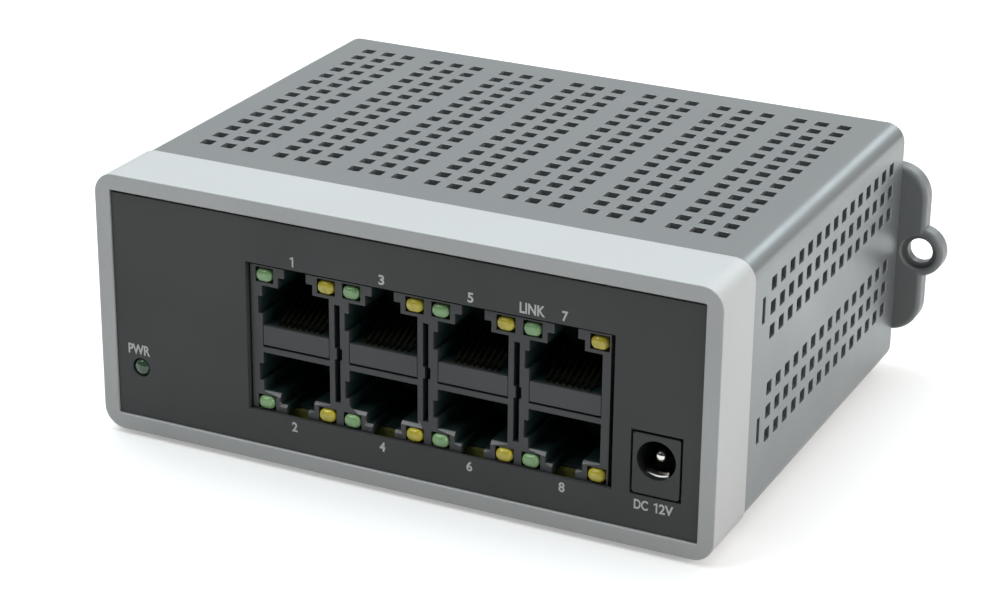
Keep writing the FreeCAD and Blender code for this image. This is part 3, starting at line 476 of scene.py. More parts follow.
class Draft:
    """A mesh in the making, in millimetres."""

    def __init__(self) -> None:
        """Starts with an empty mesh."""
        self.mesh = bmesh.new()

    def verts(self, loop: Sequence[Vector]) -> Verts:
        """Adds the points of a loop."""
        return [self.mesh.verts.new(point) for point in loop]

    def loft(self, loops: Sequence[Loop], ring: bool = False) -> list[Verts]:
        """Spans quads between loops of equal length.

        Args:
            loops: The loops in order.
            ring: Whether the last loop joins the first.

        Returns:
            The loops' vertices.
        """
        rows = [self.verts(loop) for loop in loops]
        for one, two in zip(rows, rows[1:] + rows[:1] if ring else rows[1:]):
            for index, corner in enumerate(one):
                after = (index + 1) % len(one)
                self.mesh.faces.new((corner, one[after], two[after], two[index]))
        return rows

    def fill(self, *loops: Verts) -> None:
        """Fills a flat face.

        Args:
            loops: The face's outline, then the outlines of its holes.
        """
        edges = []
        for loop in loops:
            for pair in zip(loop, loop[1:] + loop[:1]):
                edges.append(self.mesh.edges.get(pair) or self.mesh.edges.new(pair))
        bmesh.ops.triangle_fill(self.mesh, use_beauty=True, use_dissolve=False, edges=edges)

    def cap(self, rows: Sequence[Verts]) -> None:
        """Fills both ends of a loft."""
        self.fill(rows[0])
        self.fill(rows[-1])

    def box(self, one: Sequence[float], two: Sequence[float]) -> None:
        """Adds a box.

        Args:
            one: One of its corners.
            two: The opposite corner.
        """
        (left, right), (near, far), (low, high) = (sorted(pair) for pair in zip(one, two))
        corners = [(left, near), (right, near), (right, far), (left, far)]
        bottom, top = self.loft([level(corners, low), level(corners, high)])
        self.mesh.faces.new(bottom[::-1])
        self.mesh.faces.new(top)

    def lathe(self, profile: Sequence[Flat], place: Matrix, steps: int = 40) -> None:
        """Turns a profile about an axis and closes both ends.

        Args:
            profile: Pairs of radius and height.
            place: The axis, as the turn and shift of an upright one.
            steps: Segments round the axis.
        """
        self.cap(self.loft([
            [place @ Vector((*point, height)) for point in ring_outline(0.0, 0.0, radius, steps)]
            for radius, height in profile
        ]))

    def turn(self, matrix: Matrix) -> None:
        """Turns the whole mesh."""
        bmesh.ops.transform(self.mesh, matrix=matrix, verts=self.mesh.verts)

    def face_outwards(self) -> None:
        """Turns all faces outwards."""
        bmesh.ops.recalc_face_normals(self.mesh, faces=self.mesh.faces)

    def to_mesh(self, name: str) -> bpy.types.Mesh:
        """Writes the finished mesh in metres and frees the draft.

        Args:
            name: The mesh's name.

        Returns:
            The mesh.
        """
        bmesh.ops.scale(self.mesh, vec=(MM, MM, MM), verts=self.mesh.verts)
        mesh = bpy.data.meshes.new(name)
        self.mesh.to_mesh(mesh)
        self.mesh.free()
        return mesh

    def piece(self, name: str) -> Piece:
        """Merges doubles, turns all faces outwards and puts the mesh in the scene.

        Args:
            name: The piece's name.

        Returns:
            The piece.
        """
        bmesh.ops.remove_doubles(self.mesh, verts=self.mesh.verts, dist=MERGE_GAP / MM)
        self.face_outwards()
        return as_object(name, self.to_mesh(name))


def evaluated_mesh(holder: Piece) -> bpy.types.Mesh:
    """Gives an object's mesh with its modifiers or letters worked out."""
    graph = bpy.context.evaluated_depsgraph_get()
    return bpy.data.meshes.new_from_object(holder.evaluated_get(graph), depsgraph=graph)


def settle(piece: Piece) -> Piece:
    """Turns a piece with modifiers into a plain mesh.

    Args:
        piece: The piece.

    Returns:
        The same piece.
    """
    plain = evaluated_mesh(piece)
    piece.modifiers.clear()
    piece.data = plain
    return piece


def even_shading(piece: Piece, angle: float = 35.0) -> Piece:
    """Shades rounds smooth and flats flat.

    Args:
        piece: The piece.
        angle: The turn between two faces from which their edge stays sharp.

    Returns:
        The same piece.
    """
    piece.data.shade_smooth()
    piece.data.set_sharp_from_angle(angle=math.radians(angle))
    weighted = piece.modifiers.new("even", "WEIGHTED_NORMAL")
    weighted.keep_sharp = True
    weighted.weight = FACE_WEIGHT
    return settle(piece)


def soften(piece: Piece, width: float, segments: int = 2, angle: float = 40.0) -> Piece:
    """Rounds a piece's hard edges.

    Args:
        piece: The piece.
        width: How far the edges are rounded.
        segments: Faces in each rounding.
        angle: The turn between two faces from which their edge is rounded.

    Returns:
        The same piece.
    """
    bevel = piece.modifiers.new("edges", "BEVEL")
    bevel.width = width * MM
    bevel.segments = segments
    bevel.limit_method = "ANGLE"
    bevel.angle_limit = math.radians(angle)
    bevel.use_clamp_overlap = True
    return settle(piece)


def wear(piece: Piece, finish: AnyFinish, slot: str, *nodes: str) -> None:
    """Gives a piece its finish, its body and the solids that it stands for.

    Args:
        piece: The finished piece, at the origin.
        finish: What its surface is made of.
        slot: The record's material slot; not used.
        nodes: The solids that it replaces.
    """
    WARDROBE.dress(piece, finish)
    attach(piece, BODY)
    if nodes:
        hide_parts(*nodes)
    LOG.info("%s: %d faces", piece.name, len(piece.data.polygons))


def join(target: Piece, *others: Piece) -> Piece:
    """Takes other pieces' meshes into one piece and closes the seams between them.

    Args:
        target: The piece that stays.
        others: The pieces that are taken in.

    Returns:
        The piece that stays.
    """
    joined = bmesh.new()
    for part in (target, *others):
        joined.from_mesh(part.data)
    bmesh.ops.remove_doubles(joined, verts=joined.verts, dist=2 * MERGE_GAP)
    bmesh.ops.recalc_face_normals(joined, faces=joined.faces)
    joined.to_mesh(target.data)
    joined.free()
    for part in others:
        bpy.data.objects.remove(part)
    return target


def softened_solid(
    node: str, name: str, width: float, ramps: Callable[[bmesh.types.BMesh], Ramps] | None = None
) -> Piece:
    """Copies a solid's mesh, joins its loose triangles into flats and rounds the edges between them.

    Args:
        node: The solid's name.
        name: The new piece's name.
        width: How far its edges are rounded.
        ramps: Gives lots of edges that are cut back further, how far, and their cut's painted highlight.

    Returns:
        The softened piece.
    """
    mesh = bmesh.new()
    mesh.from_mesh(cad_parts[node].data)
    bmesh.ops.remove_doubles(mesh, verts=mesh.verts, dist=MERGE_GAP)
    bmesh.ops.dissolve_limit(mesh, angle_limit=math.radians(FLAT_ANGLE), verts=mesh.verts, edges=mesh.edges)
    # The cut faces get their share of painted highlight as a face attribute.
    for edges, cut, highlight_share in ramps(mesh) if ramps else ():
        marks = mesh.faces.layers.float.get(RAMP_HIGHLIGHT) or mesh.faces.layers.float.new(RAMP_HIGHLIGHT)
        cuts = bmesh.ops.bevel(
            mesh, geom=edges, offset=cut * MM, segments=1, affect="EDGES", clamp_overlap=True,
        )
        for face in cuts["faces"]:
            face[marks] = highlight_share
    made = bpy.data.meshes.new(name)
    mesh.to_mesh(made)
    mesh.free()
    return even_shading(soften(as_object(name, made), width))


def front_pin(node: str, name: str, tip: Sequence[Flat], apex: float = 0.0, steps: int = 40) -> Piece:
    """Turns a round piece that lies where a solid does and points to the front.

    Args:
        node: The solid that gives its place, radius and length.
        name: The piece's name.
        tip: Its rounded tip, as pairs of a share of the radius and a height under the apex.
        apex: How far it reaches out of the solid.
        steps: Segments round its axis.

    Returns:
        The shaded piece.
    """
    low, high = node_box(node)
    radius, length = (high.x - low.x) / 2, high.y - low.y + apex
    place = Matrix.Translation(((low.x + high.x) / 2, low.y - apex, (low.z + high.z) / 2))
    draft = Draft()
    profile = [(radius, -length), *((radius * share, height) for share, height in tip)]
    draft.lathe(profile, place @ Matrix.Rotation(math.pi / 2, 4, "X"), steps)
    return even_shading(draft.piece(name), ROUND_ANGLE)


class RowRepeater(NodeBoard):
    """A node tree that repeats its own piece in columns, groups of columns and rows."""

    COUNTS = ("Columns", "Groups", "Rows")
    STEPS = ("Column Step", "Group Step", "Row Step")

    def __init__(self) -> None:
        """Builds the tree with its named inputs."""
        super().__init__(bpy.data.node_groups.new("repeat_in_rows", "GeometryNodeTree"))
        kinds = {"Geometry": "Geometry", **dict.fromkeys(self.COUNTS, "Int")}
        kinds |= {**dict.fromkeys(("First", *self.STEPS), "Vector"), "Finish": "Material"}
        self.sockets = {name: self._socket(name, kind, "INPUT") for name, kind in kinds.items()}
        self._socket("Geometry", "Geometry", "OUTPUT")
        self._wire()

    def _socket(self, name: str, kind: str, way: str) -> str:
        """Adds an input or output and gives its identifier."""
        made = self.tree.interface.new_socket(name=name, in_out=way, socket_type=f"NodeSocket{kind}")
        return made.identifier

    def _wire(self) -> None:
        """Joins index, counts and steps into one place per instance."""
        given = self.node("NodeGroupInput").outputs
        index = self.node("GeometryNodeInputIndex").outputs[0]
        columns, groups, rows = (given[name] for name in self.COUNTS)
        block = self.maths("MULTIPLY", columns, groups)
        column = self.maths("MODULO", index, columns)
        group = self.maths("MODULO", self.maths("FLOOR", self.maths("DIVIDE", index, columns)), groups)
        row = self.maths("FLOOR", self.maths("DIVIDE", index, block))
        place = given["First"]
        for step, count in zip(self.STEPS, (column, group, row)):
            moved = self.node("ShaderNodeVectorMath", {0: given[step], "Scale": count}, operation="SCALE")
            added = self.node("ShaderNodeVectorMath", {0: place, 1: moved.outputs[0]}, operation="ADD")
            place = added.outputs[0]
        whole = self.maths("MULTIPLY", block, rows)
        points = self.node("GeometryNodePoints", {0: whole, 1: place}).outputs[0]
        repeated = self.node("GeometryNodeInstanceOnPoints", {0: points, "Instance": given["Geometry"]})
        real = self.node("GeometryNodeRealizeInstances", {0: repeated.outputs[0]}).outputs[0]
        dressed = self.node("GeometryNodeSetMaterial", {0: real, "Material": given["Finish"]})
        self.node("NodeGroupOutput", {0: dressed.outputs[0]})

    def repeat(
        self, piece: Piece, finish: AnyFinish, first: Sequence[float], columns: Run,
        groups: Run = ONCE, rows: Run = ONCE,
    ) -> Piece:
        """Repeats a piece that stands at the origin.

        Args:
            piece: The one piece.
            finish: What the repeats are made of.
            first: Place of the first repeat.
            columns: Count and step of the columns.
            groups: Count and step of the groups of columns.
            rows: Count and step of the rows.

        Returns:
            The piece, now the plain mesh of all its repeats.
        """
        modifier = piece.modifiers.new("rows", "NODES")
        modifier.node_group = self.tree
        values: dict[str, object] = {"First": Vector(first) * MM, "Finish": WARDROBE.of(finish)}
        for count, step, (number, length) in zip(self.COUNTS, self.STEPS, (columns, groups, rows)):
            values[count] = number
            values[step] = Vector(length) * MM
        for name, value in values.items():
            modifier[self.sockets[name]] = value
        return settle(piece)


REPEATER = RowRepeater()


@dataclass
class FrontBezel:
    """Moulded ring around the faceplate, with its snap tabs."""

    rim: float = 2.67
    corner: float = 3.5
    edge: float = 0.16
    seam_edge: float = 0.2
    inner_edge: float = 0.12
    inner_corner: float = 0.27
    ledge: float = 1.6
    ledge_front: float = 1.25
    ledge_back: float = 2.55
    depth: float = 12.65
    tab_thickness: float = 1.5
    tab_height: float = 6.5
    tab_outer: float = 51.25
    tab_root: float = 1.0
    snap_heights: Flat = (35.0, 15.45)
    hook_setback: float = 4.15
    hook: Triple = (0.4, 0.8, 3.85)
    edge_steps: int = 5

    def loops(self) -> list[Loop]:
        """Draws the ring's section, from the front face round the outside and back inside.

        Returns:
            The section's loops.
        """
        low, high = node_box("front_bezel")
        inner, ledge, sharp = self.rim, self.rim + self.ledge, self.inner_corner

        def loop(inset: float, y: float, corner: float) -> Loop:
            """One loop, set in from the outer surface."""
            return upright(rounded_outline(high.x - inset, low.z + inset, high.z - inset, corner), low.y + y)

        outside = [
            *quarter_round(self.edge, self.edge_steps),
            (0.0, self.depth - self.seam_edge), (self.seam_edge, self.depth),
        ]
        inside = [
            (inner, self.depth), (inner, self.ledge_back), (ledge, self.ledge_back),
            (ledge, self.ledge_front), (inner, self.ledge_front),
            (inner, self.inner_edge), (inner - self.inner_edge, 0.0),
        ]
        loops = [loop(inset, y, max(self.corner - inset, sharp)) for inset, y in outside]
        return loops + [loop(inset, y, sharp) for inset, y in inside]

    def build(self) -> None:
        """Makes the ring and its four hooked tabs."""
        low, high = node_box("front_bezel")
        seam = low.y + self.depth
        middle = seam + self.hook_setback
        reach, hook_depth, hook_height = self.hook
        draft = Draft()
        draft.loft(self.loops(), ring=True)
        for side in Side:
            inner = side.value * (self.tab_outer - self.tab_thickness)
            outer = side.value * self.tab_outer
            tip = side.value * (self.tab_outer + reach)
            for height in self.snap_heights:
                bottom, top = (height + way * self.tab_height / 2 for way in (-1, 1))
                draft.box((inner, seam - self.tab_root, bottom), (outer, high.y, top))
                bottom, top = (height + way * hook_height / 2 for way in (-1, 1))
                draft.box((outer, middle - hook_depth / 2, bottom), (tip, middle + hook_depth / 2, top))
        wear(even_shading(draft.piece("bezel_ring")), SILVER_MOULDING, "bezel", "front_bezel")


def pierced_sheet(
    draft: Draft,
    us: Sequence[float],
    vs: Sequence[float],
    at: Callable[[float, float, float], Vector],
    is_open: Callable[[float, float], bool],
    is_walled: Callable[[float, float], bool],
    thickness: float,
) -> None:
    """Builds a sheet from a grid of cells, some of them open.

    Args:
        draft: The mesh to build in.
        us: Grid lines along the sheet.
        vs: Grid lines across it.
        at: Gives the point for a place on the sheet and a depth under its outer face.
        is_open: Whether there is a hole at a place.
        is_walled: Whether the hole at a place gets walls here.
        thickness: The sheet's thickness.
    """
    outer = [[draft.mesh.verts.new(at(u, v, 0.0)) for v in vs] for u in us]
    inner = [[draft.mesh.verts.new(at(u, v, thickness)) for v in vs] for u in us]
    count_u, count_v = len(us) - 1, len(vs) - 1

    def middle(i: int, j: int) -> Flat:
        """The middle of one cell."""
        return (us[i] + us[i + 1]) / 2, (vs[j] + vs[j + 1]) / 2

    solid = [[not is_open(*middle(i, j)) for j in range(count_v)] for i in range(count_u)]
    for i in range(count_u):
        for j in range(count_v):
            if not solid[i][j]:
                continue
            corners = ((i, j), (i + 1, j), (i + 1, j + 1), (i, j + 1))
            draft.mesh.faces.new([outer[a][b] for a, b in corners])
            draft.mesh.faces.new([inner[a][b] for a, b in reversed(corners)])
            neighbours = ((i, j - 1), (i + 1, j), (i, j + 1), (i - 1, j))
            for edge, (a, b) in enumerate(neighbours):
                inside = 0 <= a < count_u and 0 <= b < count_v
                if inside and (solid[a][b] or not is_walled(*middle(a, b))):
                    continue
                (p, q), (r, s) = corners[edge], corners[(edge + 1) % len(corners)]
                draft.mesh.faces.new((outer[p][q], inner[p][q], inner[r][s], outer[r][s]))


@dataclass
class PerforatedCover:
    """Folded sheet with square punched vents, each with its own rolled edge."""

    thickness: float = 1.0
    flange: float = 8.7
    bend: float = 3.2
    ease: Flat = (0.4, 0.15)
    vent: float = 2.12
    lip: float = 0.22
    roll: float = 0.09
    roll_middle: Flat = (0.3, 0.35)
    vent_corner: float = 0.24
    pitch: float = 3.88
    in_group: int = 3
    top_groups: int = 7
    top_group_pitch: float = 13.53
    side_groups: int = 2
    side_group_pitch: float = 17.06
    side_middle: float = 25.72
    rows: int = 15
    first_row: float = -21.5
    roof_shift: float = -0.3
    slot_place: float = -25.45
    slot_width: float = 1.2
    slot_height: float = 4.25
    slot_heights: Flat = (35.0, 15.45)
    bend_steps: int = 12
    corner_steps: int = 2
    edge: float = 0.12
    edge_angle: float = 60.0
    shading_angle: float = 50.0

    def __post_init__(self) -> None:
        """Reads the outer section from the solid and unrolls it, from the left flange to the right one."""
        low, high = node_box("perforated_cover")
        wider, higher = self.ease
        self.half, self.bottom, self.top = high.x + wider, low.z, high.z + higher
        self.front, self.rear = low.y, high.y
        self.cell = self.vent / 2 + self.lip
        flange, arc = self.flange - self.bend, self.bend * math.pi / 2
        side, roof = self.top - self.bottom - 2 * self.bend, 2 * (self.half - self.bend)
        self.marks = list(accumulate((flange, arc, side, arc, roof, arc, side, arc, flange), initial=0.0))
        self.whole = self.marks[-1]

    def at(self, u: float, v: float, depth: float) -> Vector:
        """Folds an unrolled place on the sheet into the case's frame.

        Args:
            u: Length along the unrolled section, from the edge of the left flange.
            v: Place along the case's depth.
            depth: Depth under the outer face.

        Returns:
            The point.
        """
        marks, bend = self.marks, self.bend
        mirrored = u > self.whole / 2
        run = self.whole - u if mirrored else u
        inner_half = self.half - bend
        if run <= marks[1]:
            x, z, nx, nz = -(self.half - self.flange) - run, self.bottom, 0.0, -1.0
        elif run <= marks[2]:
            turn = (run - marks[1]) / bend
            nx, nz = -math.sin(turn), -math.cos(turn)
            x, z = -inner_half + bend * nx, self.bottom + bend + bend * nz
        elif run <= marks[3]:
            x, z, nx, nz = -self.half, self.bottom + bend + run - marks[2], -1.0, 0.0
        elif run <= marks[4]:
            turn = (run - marks[3]) / bend
            nx, nz = -math.cos(turn), math.sin(turn)
            x, z = -inner_half + bend * nx, self.top - bend + bend * nz
        else:
            x, z, nx, nz = -inner_half + run - marks[4], self.top, 0.0, 1.0
        sign = -1.0 if mirrored else 1.0
        return Vector((sign * (x - nx * depth), v, z - nz * depth))

    def columns(self, groups: int, group_pitch: float) -> list[float]:
        """Gives the places of a vent field's columns about its middle.

        Args:
            groups: How many groups of columns there are.
            group_pitch: The step from group to group.

        Returns:
            The places in order.
        """
        half = ((groups - 1) * group_pitch + (self.in_group - 1) * self.pitch) / 2
        return [
            group * group_pitch + column * self.pitch - half
            for group in range(groups)
            for column in range(self.in_group)
        ]

    def on_both_sides(self, heights: Iterable[float]) -> list[float]:
        """Gives the unrolled places of heights on the left side, and of their mirror images.

        Args:
            heights: Heights in the case's frame.

        Returns:
            The places on the left, then those on the right.
        """
        up = self.marks[2] - self.bottom - self.bend
        left = [up + height for height in heights]
        return left + [self.whole - place for place in left]

    def sheet(self) -> Piece:
        """Makes the folded sheet with room for each vent's rolled edge.

        Returns:
            The sheet.
        """
        marks, cell = self.marks, self.cell
        side_columns = self.columns(self.side_groups, self.side_group_pitch)
        vents = self.on_both_sides(self.side_middle + place for place in side_columns)
        top_columns = self.columns(self.top_groups, self.top_group_pitch)
        vents += [self.whole / 2 + self.roof_shift + place for place in top_columns]
        rows = [self.first_row + row * self.pitch for row in range(self.rows)]
        slots = self.on_both_sides(self.slot_heights)

        def edges(places: Iterable[float], half: float) -> list[float]:
            """The grid lines on both sides of each place."""
            return [place + way * half for place in places for way in (-1, 1)]

        us = {*marks, *edges(vents, cell), *edges(slots, self.slot_height / 2)}
        bends = list(zip(marks, marks[1:]))[1::2]
        for start, end in bends:
            us.update(start + (end - start) * step / self.bend_steps for step in range(1, self.bend_steps))
        vs = {self.front, self.rear, *edges(rows, cell), *edges([self.slot_place], self.slot_width / 2)}

        def in_vent(u: float, v: float) -> bool:
            """Whether a place lies in a vent's cell."""
            return any(abs(v - row) < cell for row in rows) and any(abs(u - place) < cell for place in vents)

        def in_slot(u: float, v: float) -> bool:
            """Whether a place lies in a snap slot."""
            beside = abs(v - self.slot_place) < self.slot_width / 2
            return beside and any(abs(u - place) < self.slot_height / 2 for place in slots)

        def is_open(u: float, v: float) -> bool:
            """Whether the sheet is open at a place."""
            return in_vent(u, v) or in_slot(u, v)

        draft = Draft()
        pierced_sheet(draft, sorted(us), sorted(vs), self.at, is_open, in_slot, self.thickness)
        draft.face_outwards()
        sheet = as_object("cover_sheet", draft.to_mesh("cover_sheet"))
        return soften(sheet, self.edge, angle=self.edge_angle)

    def one_lip(self) -> Draft:
        """Draws one vent's rolled edge, facing up, with its top at the origin's height.

        Returns:
            The draft.
        """
        draft = Draft()
        half, span = self.vent / 2, self.corner_steps + 1

        def square(inset: float, z: float) -> Loop:
            """A rounded square, set out from the vent's wall."""
            reach, bend = half + inset, self.vent_corner + inset
            return level(rounded_outline(reach, -half - inset, reach, bend, self.corner_steps), z)

        out, down = self.roll_middle
        rows = draft.loft([
            square(self.roll, 0.0), square(self.roll * out, -self.roll * down), square(0.0, -self.roll),
            square(0.0, -self.thickness),
        ])
        cell_outline = [(self.cell * x, self.cell * y) for x, y in ((1, -1), (1, 1), (-1, 1), (-1, -1))]
        for edge, height in ((rows[0], 0.0), (rows[-1], -self.thickness)):
            corners = draft.verts(level(cell_outline, height))
            for index, corner in enumerate(corners):
                arc = edge[index * span:(index + 1) * span]
                for one, two in zip(arc, arc[1:]):
                    draft.mesh.faces.new((corner, one, two))
                after = (index + 1) % len(corners)
                draft.mesh.faces.new((corner, arc[-1], edge[after * span], corners[after]))
        draft.face_outwards()
        return draft

    def lips(
        self, name: str, turn: Matrix, first: Triple, along: Vector, groups: int, group_pitch: float
    ) -> Piece:
        """Repeats the rolled edge over one field of vents.

        Args:
            name: The field's name.
            turn: The turn from facing up to facing out of the field.
            first: Place of the first vent.
            along: The way from column to column.
            groups: How many groups of columns there are.
            group_pitch: The step from group to group.

        Returns:
            The field's rolled edges.
        """
        draft = self.one_lip()
        draft.turn(turn)
        columns, depth_rows = (self.in_group, along * self.pitch), (self.rows, (0.0, self.pitch, 0.0))
        piece = as_object(name, draft.to_mesh(name))
        return REPEATER.repeat(piece, GREY_SHEET, first, columns, (groups, along * group_pitch), depth_rows)

    def build(self) -> None:
        """Makes the sheet, lays the rolled edges into it and joins them."""
        sheet = self.sheet()
        roof = (self.top_groups, self.top_group_pitch)
        first = (self.roof_shift + self.columns(*roof)[0], self.first_row, self.top)
        fields = [self.lips("roof_vents", Matrix.Identity(4), first, Vector((1, 0, 0)), *roof)]
        flank = (self.side_groups, self.side_group_pitch)
        for side in Side:
            turn = Matrix.Rotation(side.value * math.pi / 2, 4, "Y")
            first = (side.value * self.half, self.first_row, self.side_middle + self.columns(*flank)[0])
            fields.append(self.lips(f"{side.name.lower()}_vents", turn, first, Vector((0, 0, 1)), *flank))
        cover = even_shading(join(sheet, *fields), self.shading_angle)
        wear(cover, GREY_SHEET, "sheet", "perforated_cover")


@dataclass
class Faceplate:
    """Thin plate in the rim with its windows and lamp hole."""

    port_window: tuple[float, float, float, float] = (-26.03, 36.17, 9.19, 34.1)
    jack_window: tuple[float, float, float, float] = (39.075, 47.325, 9.3, 19.85)
    lamp: Triple = (-45.8, 12.2, 1.56)
    lamp_cell: float = 2.6
    thickness: float = 0.85
    collar_wall: float = 0.9
    collar_depth: float = 3.3
    head_gap: float = 0.3
    edge: float = 0.08
    steps: int = 40

    def build(self) -> None:
        """Makes the plate from cells and a round hole."""
        low, high = node_box("faceplate")
        x, z, radius = self.lamp
        cell = (x - self.lamp_cell, x + self.lamp_cell, z - self.lamp_cell, z + self.lamp_cell)
        holes = (self.port_window, self.jack_window, cell)
        us = sorted({low.x, high.x, *(value for hole in holes for value in hole[:2])})
        vs = sorted({low.z, high.z - self.head_gap, *(value for hole in holes for value in hole[2:])})

        def inside(window: Sequence[float], u: float, v: float) -> bool:
            """Whether a place lies in a window."""
            return window[0] < u < window[1] and window[2] < v < window[3]

        draft = Draft()
        pierced_sheet(
            draft, us, vs, lambda u, v, depth: Vector((u, low.y + depth, v)),
            lambda u, v: any(inside(hole, u, v) for hole in holes),
            lambda u, v: not inside(cell, u, v), self.thickness,
        )
        faces = (low.y, low.y + self.thickness)
        rings = draft.loft([upright(ring_outline(x, z, radius, self.steps), y) for y in faces])
        square = [(cell[0], cell[2]), (cell[1], cell[2]), (cell[1], cell[3]), (cell[0], cell[3])]
        for ring, y in zip(rings, faces):
            draft.fill(draft.verts(upright(square, y)), ring)
        plate = join(soften(draft.piece("inlay"), self.edge), self.collar(low.y + self.thickness))
        wear(even_shading(plate), DARK_INLAY, "inlay", "faceplate")

    def collar(self, back: float) -> Piece:
        """Makes the collar behind the port window's sides and top.

        Args:
            back: The place of the plate's back.

        Returns:
            The collar.
        """
        left, right, sill, head = self.port_window
        wall = self.collar_wall
        out_left, out_right, out_head = left - wall, right + wall, head + wall
        outline = [
            (out_left, sill), (left, sill), (left, head), (right, head),
            (right, sill), (out_right, sill), (out_right, out_head), (out_left, out_head),
        ]
        draft = Draft()
        draft.cap(draft.loft([upright(outline, back), upright(outline, back + self.collar_depth)]))
        return draft.piece("collar")


@dataclass(frozen=True)
class Word:
    """One printed word: its piece's name, and its middle, height and width on the plate."""

    text: str
    name: str
    x: float
    z: float
    height: float
    width: float


@dataclass
class Markings:
    """Plain functional markings printed on the faceplate."""

    proud: float = 0.015
    weight: float = 0.03
    digit_height: float = 1.64
    digit_width: float = 1.0
    one_width: float = 0.62
    above: float = 35.51
    below: float = 7.75
    first_port: float = -17.79
    port_pitch: float = 15.24
    shifts: tuple[float, ...] = (0.05, 0.32, 0.03, 0.2)
    one: tuple[Flat, ...] = (
        (0.2, 0.0), (0.36, 0.0), (0.36, 1.0), (0.24, 1.0), (0.0, 0.86), (0.0, 0.7), (0.2, 0.82),
    )
    words: tuple[Word, ...] = (
        Word("LINK", "link_word", 22.85, 35.56, 1.75, 4.15),
        Word("PWR", "power_word", -46.1, 15.22, 1.75, 4.04),
        Word("DC", "supply_word", 41.02, 7.8, 1.64, 2.29),
        Word("1", "supply_one", 43.36, 7.8, 1.64, 0.6),
        Word("2V", "supply_volts", 45.05, 7.8, 1.64, 2.3),
    )

    def letters(self, text: str, name: str) -> bpy.types.Mesh:
        """Draws letters, or the figure one with its flag, as a flat mesh of any size.

        Args:
            text: The letters.
            name: The mesh's name.

        Returns:
            The mesh.
        """
        if text == "1":
            draft = Draft()
            draft.mesh.faces.new(draft.verts(level(self.one, 0.0)))
            return draft.to_mesh(name)
        curve = bpy.data.curves.new(name, "FONT")
        curve.body = text
        curve.offset = self.weight
        holder = as_object(name, curve)
        mesh = evaluated_mesh(holder)
        bpy.data.objects.remove(holder)
        return mesh

    def stamp(self, word: Word) -> None:
        """Prints one word on the plate.

        Args:
            word: What is printed, and where.
        """
        mesh = self.letters(word.text, word.name)
        xs = [vert.co.x for vert in mesh.vertices]
        ys = [vert.co.y for vert in mesh.vertices]
        scale_x, scale_y = word.width / (max(xs) - min(xs)), word.height / (max(ys) - min(ys))
        middle = Vector(((max(xs) + min(xs)) / 2, (max(ys) + min(ys)) / 2, 0.0))
        y = node_box("faceplate")[0].y - self.proud
        for vert in mesh.vertices:
            flat = vert.co - middle
            vert.co = Vector((word.x + flat.x * scale_x, y, word.z + flat.y * scale_y)) * MM
        mesh.update()
        wear(as_object(word.name, mesh), PRINT, "inlay")

    def build(self) -> None:
        """Prints the port numbers and the words beside lamp, links and jack."""
        for port in range(2 * len(self.shifts)):
            column, lower = divmod(port, 2)
            x = self.first_port + column * self.port_pitch + self.shifts[column]
            width = self.digit_width if port else self.one_width
            z = self.below if lower else self.above
            self.stamp(Word(str(port + 1), f"number_{port + 1}", x, z, self.digit_height, width))
        for word in self.words:
            self.stamp(word)


